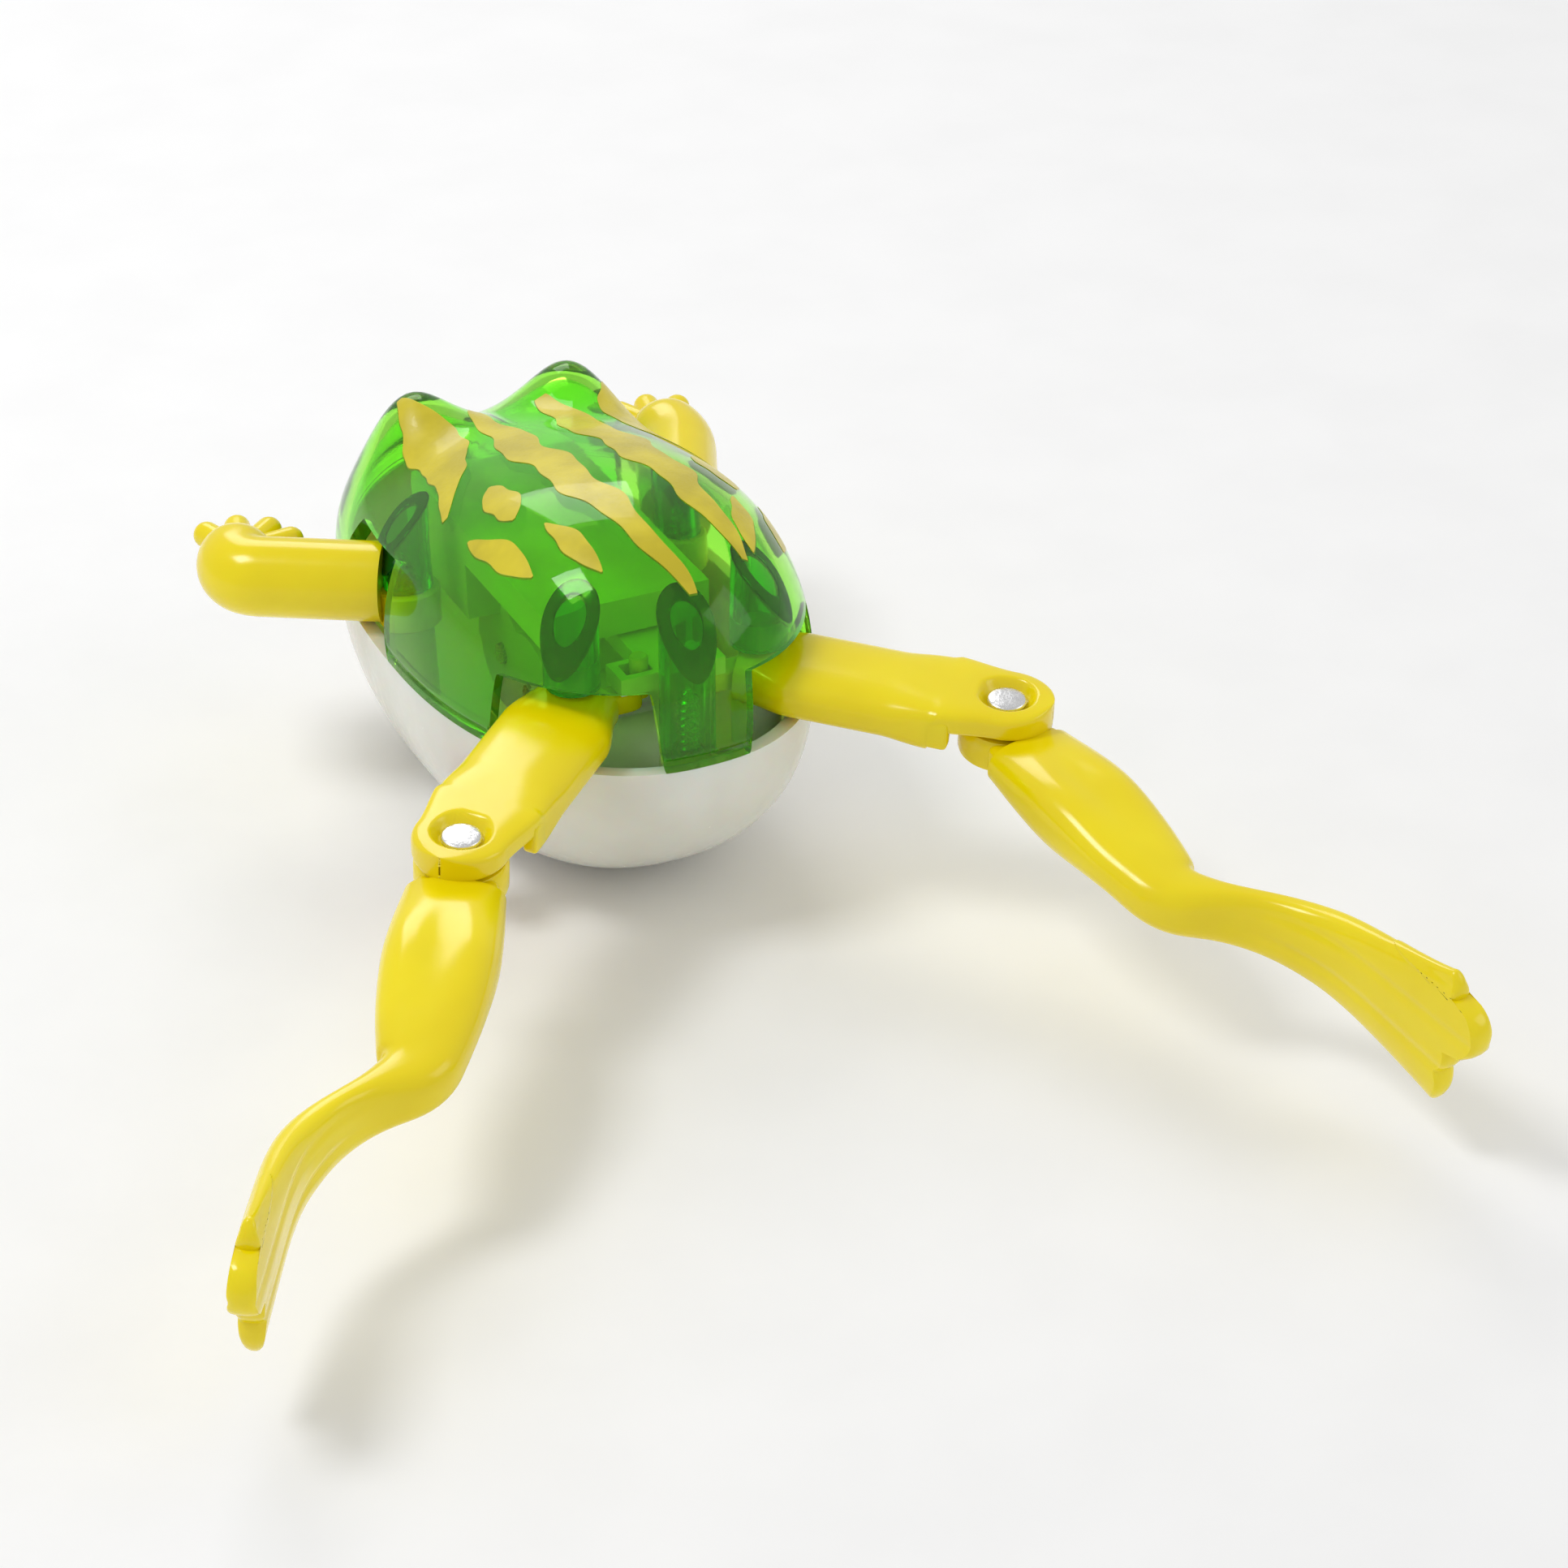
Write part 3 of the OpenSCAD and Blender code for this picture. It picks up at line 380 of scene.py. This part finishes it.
hull_posts += [post(s * hip_x, hip_y, thigh_mid - thigh_t / 2 - 0.2, post_r) for s in (-1, 1)]
hull_posts += [post(s * hip_x, hip_y, thigh_mid + thigh_t / 2 + 3, 1.9) for s in (-1, 1)]
hull_posts += [post(s * arm_x, arm_y, arm_low, post_r) for s in (-1, 1)]
piece("lower_shell_posts", hull_posts, "body", milk_plastic)

# %% [markdown]
# ## Shell screws
# The thread of the tail screw shows dark through its green tube. A thread is a cylinder whose radius
# rises and falls with height plus turn: radius = core + depth times a rounded saw of
# (height / pitch + turn).

# %% Threaded screws
def screw(x, y, seat, length, r=1.25, core=0.85, pitch=0.9):
    """A pan-headed screw that points up; its head's seat is at the height seat."""
    spin = np.linspace(0, 2 * np.pi, 24, endpoint=False)
    z = np.linspace(0, length, int(length / pitch * 10))[:, None]
    wave = 0.5 + 0.5 * np.cos(2 * np.pi * (z / pitch) - spin)
    taper = 1 - ease(z, length - 1.6, length)
    radius = (core + (r - core) * wave**3) * (0.15 + 0.85 * taper)
    thread = np.stack([x + radius * np.cos(spin), y + radius * np.sin(spin),
                       seat + z + 0 * spin], -1)
    head = turned([(0, -1.2), (0.5, -1.2), (0.5, -0.7), (1.5, -1.2), (1.9, -0.8), (2, -0.2), (1.9, 0),
                   (0, 0)], 32)
    return [capped(thread), head + np.array([x, y, seat])]


screw_grids = screw(0, tail_y, tail_joint - 6, 14)
for s in (-1, 1):
    screw_grids += screw(s * arm_x, arm_y, arm_low - 8, 16)
piece("shell_screws_threaded", screw_grids, "body", steel, ["shell_screws"])

# %% [markdown]
# ## Painted marks
# Gold paint sits on the back in two long ragged stripes, a blotch behind each eye and three flecks
# on each flank. Each is a thin film: a band or a leaf drawn in plan with a wavy edge, laid on the
# back's height. The mask that sprayed them sat a little to the right, at `mask_x`.

# %% Paint films
mask_x = 1.7
film = 0.07


def film_rows(x, y):
    """Closes a patch, given as columns across by rows along, into a film just over the back."""
    top = np.stack([x, y, back_height(x, y) + film], -1)
    below = np.stack([x, y, back_height(x, y) - 0.25], -1)
    return capped(np.concatenate([top, below[:, ::-1]], 1))


def band(along, middle, half, wave=0.0, seed=0.0, ripples=22.0):
    """A band: along is the distance down the back, middle its sideways place, half its half width."""
    v = np.linspace(-1, 1, 15)[None, :]
    t = np.linspace(0, 1, len(along))[:, None]
    turns = ripples * t[:, 0]
    left = half * (1 + wave * np.sin(turns + seed) + 0.4 * wave * np.sin(2.3 * turns + 2 * seed))
    right = half * (1 + wave * np.sin(1.15 * turns + 1.7 + seed) + 0.4 * wave * np.sin(2.1 * turns + seed))
    width = np.where(v < 0, left[:, None], right[:, None])
    return film_rows(middle[:, None] + v * width, along[:, None] + 0 * v)


def smooth_through(t, places, values):
    """A smooth curve through a few chosen places, by a cubic through each neighbour."""
    slope = np.gradient(np.asarray(values, float), np.asarray(places, float))
    i = np.clip(np.searchsorted(places, t) - 1, 0, len(places) - 2)
    p, v = np.asarray(places, float), np.asarray(values, float)
    w = p[i + 1] - p[i]
    u = (t - p[i]) / w
    a, b = slope[i] * w - (v[i + 1] - v[i]), (v[i + 1] - v[i]) - slope[i + 1] * w
    return v[i] + (v[i + 1] - v[i]) * u + u * (1 - u) * (a * (1 - u) + b * u)


t = np.linspace(0, 1, 150)
ends_taper = np.clip(np.sin(np.pi * np.clip(t * 0.97 + 0.015, 0, 1)), 0, 1) ** 0.5
left_stripe = band(21.5 - 49.5 * t, smooth_through(t, [0, 0.25, 0.55, 0.8, 1], [-2.6, -3.3, -3.3, -1.8, 1.1]),
                   (2.6 - 0.7 * t) * ends_taper, 0.24, 0.4)
right_stripe = band(19.5 - 44.0 * t, smooth_through(t, [0, 0.3, 0.6, 0.85, 1], [4.6, 5.9, 6.9, 7.6, 8.7]),
                    (3.1 - 1.0 * t) * ends_taper, 0.22, 2.2)
blotch_y = 23.0 - 24.0 * t
blotch_mid = smooth_through(t, [0, 0.35, 0.65, 1], [-10.8, -9.9, -11.3, -15.3])
blotch_half = smooth_through(t, [0, 0.3, 0.6, 0.85, 1], [0.25, 3.1, 2.2, 1.0, 0.3])
left_blotch = band(blotch_y, blotch_mid, blotch_half, 0.08, 1.0)
right_blotch = band(blotch_y, 2 * mask_x - blotch_mid, blotch_half, 0.08, 1.0)


def fleck(x, y, half, length, lean, seed):
    """A leaf-shaped fleck round a place, leaning sideways along its length."""
    s = np.linspace(0, 1, 40)
    taper = np.clip(np.sin(np.pi * s), 0.03, 1) ** 0.7
    return band(y + length * (0.5 - s), x + lean * (s - 0.5), half * taper, 0.16, seed, 7.0)


# Each fleck: its place across and along, half width, length, lean and seed of its wavy edge.
fleck_sizes = ((-10.7, -5.8, 1.8, 8.5, -0.8, 0.3), (-14.0, -13.0, 1.25, 11, 2.6, 1.9),
               (-8.0, -18.4, 1.2, 9.5, 2.2, 3.1))
flecks = []
for side in (-1, 1):
    for x, y, half, length, lean, seed in fleck_sizes:
        place = x if side < 0 else 2 * mask_x - x
        flecks.append(fleck(place, y, half, length, -side * lean, seed))
piece("painted_marks", [left_stripe, right_stripe, left_blotch, right_blotch, *flecks],
      "body", gold_paint)

# %% [markdown]
# ## Legs
# Each leg is worked out in its own frame and then placed: the hips lie on a plane that droops to the
# rear, the thigh turns outwards from straight back, and the lower leg turns again at the knee. The
# left leg mirrors the right one, but its knee is turned further out.

# %% Placing a leg
droop, spread, thigh_len = np.radians(5.5), np.radians(48), 27.2
out_turn = {1: np.radians(6), -1: np.radians(30.3)}


def turn_z(points, angle):
    """Turns points about the Z axis."""
    c, s = np.cos(angle), np.sin(angle)
    return np.stack([points[..., 0] * c - points[..., 1] * s, points[..., 0] * s + points[..., 1] * c,
                     points[..., 2]], -1)


def leg_to_body(points, side):
    """From the leg's plane at the hip to the body: droop, shift to the hip, mirror for the left."""
    c, s = np.cos(droop), np.sin(droop)
    y, z = points[..., 1] * c - points[..., 2] * s, points[..., 1] * s + points[..., 2] * c
    return np.stack([side * (points[..., 0] + hip_x), y + hip_y, z + thigh_mid], -1)


def thigh_to_body(points, side):
    """Thigh frame: X from the hip to the knee, Y to the outer side."""
    return leg_to_body(turn_z(points, spread - np.pi / 2), side)


def shank_to_body(points, side):
    """Lower-leg frame: X from the knee to the ankle, Y to the outer side."""
    at_knee = turn_z(points, out_turn[side] - spread) + np.array([thigh_len, 0, 0])
    return thigh_to_body(at_knee, side)


# %% [markdown]
# ## Thigh
# A thick bar with full round sides that thins from below to a lug over the knee. Its section is a
# superellipse; its half width follows the bar and then the lug's round end. Round the rivet the top
# is pressed in as a dish.

# %% Thigh surface
lug_r, lug_low, slab_end = 5.0, -0.3, thigh_len - 6.4
dish_depth = 1.3


def thigh_rows():
    """Sections along the bar; the last ones close round the lug's end."""
    along = np.concatenate([np.linspace(-1.5, thigh_len, 110),
                            thigh_len + lug_r * np.sin(np.linspace(0, np.pi / 2, 44)[1:])])
    spin = np.linspace(0, 2 * np.pi, 132, endpoint=False)
    u = along[:, None]
    half = 6.0 - 1.0 * ease(u, slab_end - 1, thigh_len) - 1.6 * (1 - ease(u, -1.5, 5))
    half = np.where(u > thigh_len, np.sqrt(np.clip(lug_r**2 - (u - thigh_len) ** 2, 0, None)), half)
    bottom = -2.9 + (lug_low + 2.9) * ease(u, slab_end - 0.8, slab_end + 0.4)
    box = 2.7 + 1.6 * ease(u, slab_end - 6, slab_end)
    top = 2.9 + 0 * u
    across = half * spow(np.cos(spin), 2 / box)
    z = (top + bottom) / 2 + (top - bottom) / 2 * spow(np.sin(spin), 2 / box)
    gap = np.hypot(u - thigh_len, across)
    dish = dish_depth * (1 - ease(gap, 2.2, 3.3))
    z = np.where(np.sin(spin) > 0, z - dish * ease(z, 0.4, 1.8), z)
    return capped(np.stack([u + 0 * across, across, z], -1))


def stop_tab(centre, size):
    """A small rounded block: a superellipsoid."""
    lat = np.linspace(-np.pi / 2, np.pi / 2, 17)[:, None]
    spin = np.linspace(0, 2 * np.pi, 32, endpoint=False)
    flat = spow(np.cos(lat), 0.35)
    block = np.stack([flat * spow(np.cos(spin), 0.35), flat * spow(np.sin(spin), 0.35),
                      spow(np.sin(lat), 0.35) + 0 * spin], -1)
    return block * np.asarray(size) / 2 + np.asarray(centre)


lever = 7.4
for side, word in ((1, "right"), (-1, "left")):
    bar = thigh_to_body(thigh_rows(), side)
    tab = thigh_to_body(stop_tab((slab_end + 0.3, -5.2, -0.1), (2.6, 1.6, 3.4)), side)
    arm_bar = stop_tab((-lever / 2, 0, 0), (lever, 3, 2.4)) + np.array([hip_x, hip_y, thigh_mid])
    pin = turned([(0, 0), (1, 0), (1, 4.6), (0.8, 4.8), (0, 4.8)], 32)
    pin = pin + np.array([hip_x - lever, hip_y, thigh_mid])
    mirror = np.array([side, 1, 1])
    piece(f"{word}_thigh_moulding", [bar, tab, arm_bar * mirror, pin * mirror], f"{word}_upper_leg",
          yellow_plastic, [f"{word}_thigh"])

# %% [markdown]
# ## Lower leg and webbed foot
# One limb swells to a calf, turns outwards at the ankle and flattens to an upright web. Stations run
# from 0 at the knee through 1 at the ankle to 2 at the toes; a few chosen widths and heights are
# joined smoothly. At the end the web is drawn forward into rounded toes.

# %% Lower leg surface
shank_len, foot_len, foot_h, foot_mid = 30.0, 32.0, 16.0, -3.4
half_w_at = ([0.15, 0.33, 0.5, 0.67, 0.83, 1, 1.16, 1.48, 2], [5.1, 5.6, 5.8, 5.5, 4.9, 3.8, 2.1, 1.95, 1.4])
top_at = ([0.15, 0.5, 0.83, 1.06, 1.39, 2], [0.3, 1.6, 0, -1, -0.6, foot_mid + foot_h / 2])
low_at = ([0.15, 0.5, 0.83, 1.06, 1.39, 2], [-4.8, -6.2, -5.8, -7, -8.4, foot_mid - foot_h / 2])
# Toe tips: ahead of the web's end, above its middle, radius, for a web toes_h high.
toes = np.array([[0.4, 5.7, 2.7], [3.9, 2.5, 3.0], [1.1, -1.6, 2.4], [-0.6, -5.4, 3.4]])
toes_h = 16
ankle_turn = np.radians(45.5)


def limb_rows():
    """Sections along the limb; each is a superellipse across the heading at its station."""
    q = np.concatenate([np.linspace(0.15, 1.5, 90), np.linspace(1.5, 2, 70)[1:]])
    run = np.where(q < 1, q * shank_len, shank_len + (q - 1) * foot_len)
    heading = ankle_turn * ease(q, 0.92, 1.08) * (1 - ease(q, 1.08, 1.8))
    mid = (heading[1:] + heading[:-1]) / 2
    x = run[0] + np.concatenate([[0], np.cumsum(np.diff(run) * np.cos(mid))])
    y = np.concatenate([[0], np.cumsum(np.diff(run) * np.sin(mid))])
    half, top, bottom = (smooth_through(q, *k) for k in (half_w_at, top_at, low_at))
    spin = np.linspace(0, 2 * np.pi, 160, endpoint=False)
    off = half[:, None] * spow(np.cos(spin), 2 / 2.6)
    up = spow(np.sin(spin), 2 / 2.6)
    z = (top + bottom)[:, None] / 2 + (top - bottom)[:, None] / 2 * up
    # The calf's upper face is pressed in as a long almond between two soft ridges.
    almond = np.exp(-(((q - 0.52) / 0.2) ** 2))[:, None] * np.exp(-((off / 2.6) ** 2))
    z = np.where(up > 0, z - 0.8 * almond, z)
    # Three faint creases run down the web from the toes' notches.
    web = ease(q, 1.15, 1.45)[:, None]
    for height in (3.6, -1.2, -6.4):
        line = foot_mid + (height - foot_mid) * (0.35 + 0.65 * (q[:, None] - 1))
        off = off * (1 - 0.12 * web * np.exp(-(((z - line) / 0.55) ** 2)))
    level = (z - foot_mid) * toes_h / foot_h
    lobes = [a + np.sqrt(np.clip(r * r - (level - h) ** 2, 0, None)) * (np.abs(level - h) < r)
             - 99 * (np.abs(level - h) >= r) for a, h, r in toes]
    reach = np.maximum.reduce([*lobes, 0 * level - 0.6])
    stretch = ease(q, 1.5, 2)[:, None] ** 1.2 * reach
    nx, ny = -np.sin(heading)[:, None], np.cos(heading)[:, None]
    rows = np.stack([x[:, None] + nx * off + stretch, y[:, None] + ny * off, z], -1)
    # The toe edge: three more rows draw the two faces together, so the edge follows the toes.
    centre = y[-1] + ny[-1] * 0
    edge = [rows[-1] * [1, 0, 1] + np.stack([0 * z[-1] + out, centre + (rows[-1, :, 1] - centre) * thin,
                                             0 * z[-1]], -1)
            for out, thin in ((0.25, 0.8), (0.4, 0.4), (0.42, 0))]
    knee = np.broadcast_to(rows[0].mean(0), rows[0].shape)
    return np.concatenate([knee[None], rows, np.stack(edge)])


def knuckle():
    """The hinge disc under the thigh's lug, with soft edges, and its neck into the calf."""
    low_z, high_z, r = -4.1, -0.5, 4.8
    disc = turned([(1.56, low_z), (r - 0.5, low_z), (r - 0.1, low_z + 0.15), (r, low_z + 0.5),
                   (r, high_z - 0.4), (r - 0.3, high_z), (1.56, high_z)], 72)
    neck = stop_tab((5.2, 0, -2.3), (5.5, 8.6, 3.6))
    return [disc, neck]


for side, word in ((1, "right"), (-1, "left")):
    grids = [shank_to_body(g, side) for g in [limb_rows(), *knuckle()]]
    piece(f"{word}_lower_leg_moulding", grids, f"{word}_lower_leg", yellow_plastic,
          [f"{word}_shank"])

# %% [markdown]
# ## Knee rivets
# A rivet is headed over with a press: its face is a low dome with a flattened rim. The profile is
# turned about the knee's axis, and the dents come from the finish.

# %% Rivets
def rivet_profile():
    """Radius and height from the lower head up to the domed upper head."""
    top = thigh_t / 2 - dish_depth
    dome = [(r, top + 0.62 + 0.2 * (1 - (r / 2.0) ** 2) ** 0.5) for r in np.linspace(1.98, 0, 12)]
    return [(0, -5.0), (1.9, -5.0), (2.2, -4.8), (2.2, -4.4), (1.5, -4.3), (1.5, top), (1.9, top),
            (2.05, top + 0.2), (2.06, top + 0.5), *dome]


for side, word in ((1, "right"), (-1, "left")):
    grid = thigh_to_body(turned(rivet_profile(), 72) + np.array([thigh_len, 0, 0]), side)
    piece(f"{word}_rivet_headed", [grid], f"{word}_upper_leg", aluminium,
          [f"{word}_knee_rivet"], sharp=60)

# %% [markdown]
# ## Arms
# An arm is one fat round tube with a full elbow and a small spread hand. The tube is a circle
# carried along a path whose elbow is an arc, and each finger is a short tube with a round tip.

# %% Arm surface
finger_turn, finger_len, finger_r = 34, 7.6, 1.5


def tube(path, radius, count=48):
    """A circle of the given radii carried along a level path, across its heading at each point."""
    step = np.gradient(path, axis=0)
    heading = step / np.linalg.norm(step, axis=1)[:, None]
    side_way = np.stack([-heading[:, 1], heading[:, 0], 0 * heading[:, 0]], -1)
    up = np.cross(heading, side_way)
    spin = np.linspace(0, 2 * np.pi, count, endpoint=False)
    ring = side_way[:, None] * np.cos(spin)[None, :, None] + up[:, None] * np.sin(spin)[None, :, None]
    return capped(path[:, None] + np.asarray(radius)[:, None, None] * ring)


def arm_grids(side, turn_out, bend):
    """A tube from the arm's screw out to the elbow and on to the palm, and four fingers."""
    upper_len, fore_len, turn_r = 17.5, 8.5, 3.2
    heading = np.radians(turn_out if side > 0 else 180 - turn_out)
    corner = side * np.radians(bend)
    s = np.linspace(0, 1, 90)
    total = upper_len + fore_len - turn_r
    angle = heading + corner * ease(s * total, upper_len - turn_r - 1.2, upper_len + turn_r - 1.2)
    step = total / (len(s) - 1)
    path = np.cumsum(np.stack([np.cos(angle), np.sin(angle), 0 * angle], -1), 0) * step
    middle = arm_low + 4.5
    path += np.array([side * arm_x, arm_y, middle]) + 2.6 * np.array([np.cos(heading), np.sin(heading), 0])
    run = s * total
    radius = 4.42 - 0.25 * ease(run, upper_len, total)
    radius = radius * np.sqrt(np.clip(1 - ((run - total + 4.2) / 4.21).clip(0) ** 2, 0, 1))
    last = heading + corner
    palm = path[-1] - 2.4 * np.array([np.cos(last), np.sin(last), 0])
    grids = [tube(path, radius)]
    for k in (-1.5, -0.5, 0.5, 1.5):
        way = last + np.radians(finger_turn) * k
        v = np.linspace(0, 1, 24)
        finger = palm + (v * finger_len)[:, None] * np.array([np.cos(way), np.sin(way), 0])
        tip = finger_r * np.sqrt(np.clip(1 - ((v * finger_len - 6.1) / 1.51).clip(0) ** 2, 0, 1))
        grids.append(tube(finger, tip, 28))
    eye = turned([(1.1, 0), (3.4, 0), (3.6, 0.2), (3.6, 4.0), (3.4, 4.2), (1.1, 4.2)], 48)
    grids.append(eye + np.array([side * arm_x, arm_y, arm_low]))
    return grids


# Each arm: its side, how far it is turned forward of square, and how far its elbow is bent.
for word, side, turn_out, bend in (("left", -1, 31, 92), ("right", 1, 66, 30)):
    piece(f"{word}_arm_moulding", arm_grids(side, turn_out, bend), "body", yellow_plastic,
          [f"{word}_arm"])

# %% [markdown]
# ## The motor
# The clockwork keeps its exact shapes from the frame. Each part only gets its finish: white case,
# cream gears, steel shafts and spring, red knob.

# %% Finishes of the clockwork
inside_finish = {
    "motor_case_left": white_plastic, "motor_case_right": white_plastic, "drive_yoke": white_plastic,
    "great_gear": cream_plastic, "second_gear": cream_plastic, "crank_gear": cream_plastic,
    "crank_disc": cream_plastic, "governor_flywheel": cream_plastic, "winding_knob": red_plastic,
    "winding_arbor": steel, "second_shaft": steel, "crank_shaft": steel, "governor_shaft": steel,
    "mainspring": steel, "motor_screws": steel,
}
for name, material in inside_finish.items():
    nodes[name].data.materials.clear()
    nodes[name].data.materials.append(material)
print("clockwork parts finished:", len(inside_finish))

# %% [markdown]
# ## Floor, light and camera
# A pale floor, a bright even room and three soft lamps, so that gloss shows as soft streaks. The
# camera looks down on the frog from behind its left side.

# %% Floor
floor_mesh = bpy.data.meshes.new("floor")
half = 1.5
floor_mesh.from_pydata([(-half, -half, 0), (half, -half, 0), (half, half, 0), (-half, half, 0)], [],
                       [(0, 1, 2, 3)])
floor = bpy.data.objects.new("floor", floor_mesh)
bpy.context.scene.collection.objects.link(floor)
floor_mesh.materials.append(finish("Pale floor", (0.93, 0.93, 0.93), (0.95, 0.95, 0.95), 0.6, 0.1, 0.0))

# %% Lamps
world = bpy.data.worlds.new("Bright room")
world.use_nodes = True
world.node_tree.nodes["Background"].inputs["Color"].default_value = (1, 1, 1, 1)
world.node_tree.nodes["Background"].inputs["Strength"].default_value = 0.60
bpy.context.scene.world = world


def lamp(name, place, target, size, power_w):
    """A square soft lamp that points at the target."""
    light = bpy.data.lights.new(name, "AREA")
    light.shape = "SQUARE"
    light.size = size
    light.energy = power_w
    made = bpy.data.objects.new(name, light)
    made.location = place
    made.rotation_euler = (Vector(target) - Vector(place)).to_track_quat("-Z", "Y").to_euler()
    bpy.context.scene.collection.objects.link(made)
    return made


middle = (0, -0.02, 0.02)
lamp("key", (-0.30, 0.05, 0.55), middle, 0.18, 1.1)
lamp("fill", (0.45, -0.35, 0.35), middle, 0.30, 0.4)
lamp("rim", (0.10, 0.50, 0.45), middle, 0.30, 0.9)

# %% Camera
eye_from = np.radians([-26.02, 31.32])
target = np.array([5.23, -40.84, 21.5]) * MM
back_way = np.array([np.sin(eye_from[0]) * np.cos(eye_from[1]), -np.cos(eye_from[0]) * np.cos(eye_from[1]),
                     np.sin(eye_from[1])])
camera = bpy.data.objects.new("camera", bpy.data.cameras.new("camera"))
camera.data.lens = 101.74
camera.data.sensor_width = 36
camera.location = target + 0.455 * back_way
camera.rotation_euler = Vector(-back_way).to_track_quat("-Z", "Y").to_euler()
bpy.context.scene.collection.objects.link(camera)
bpy.context.scene.camera = camera
bpy.context.scene.view_settings.view_transform = "Standard"
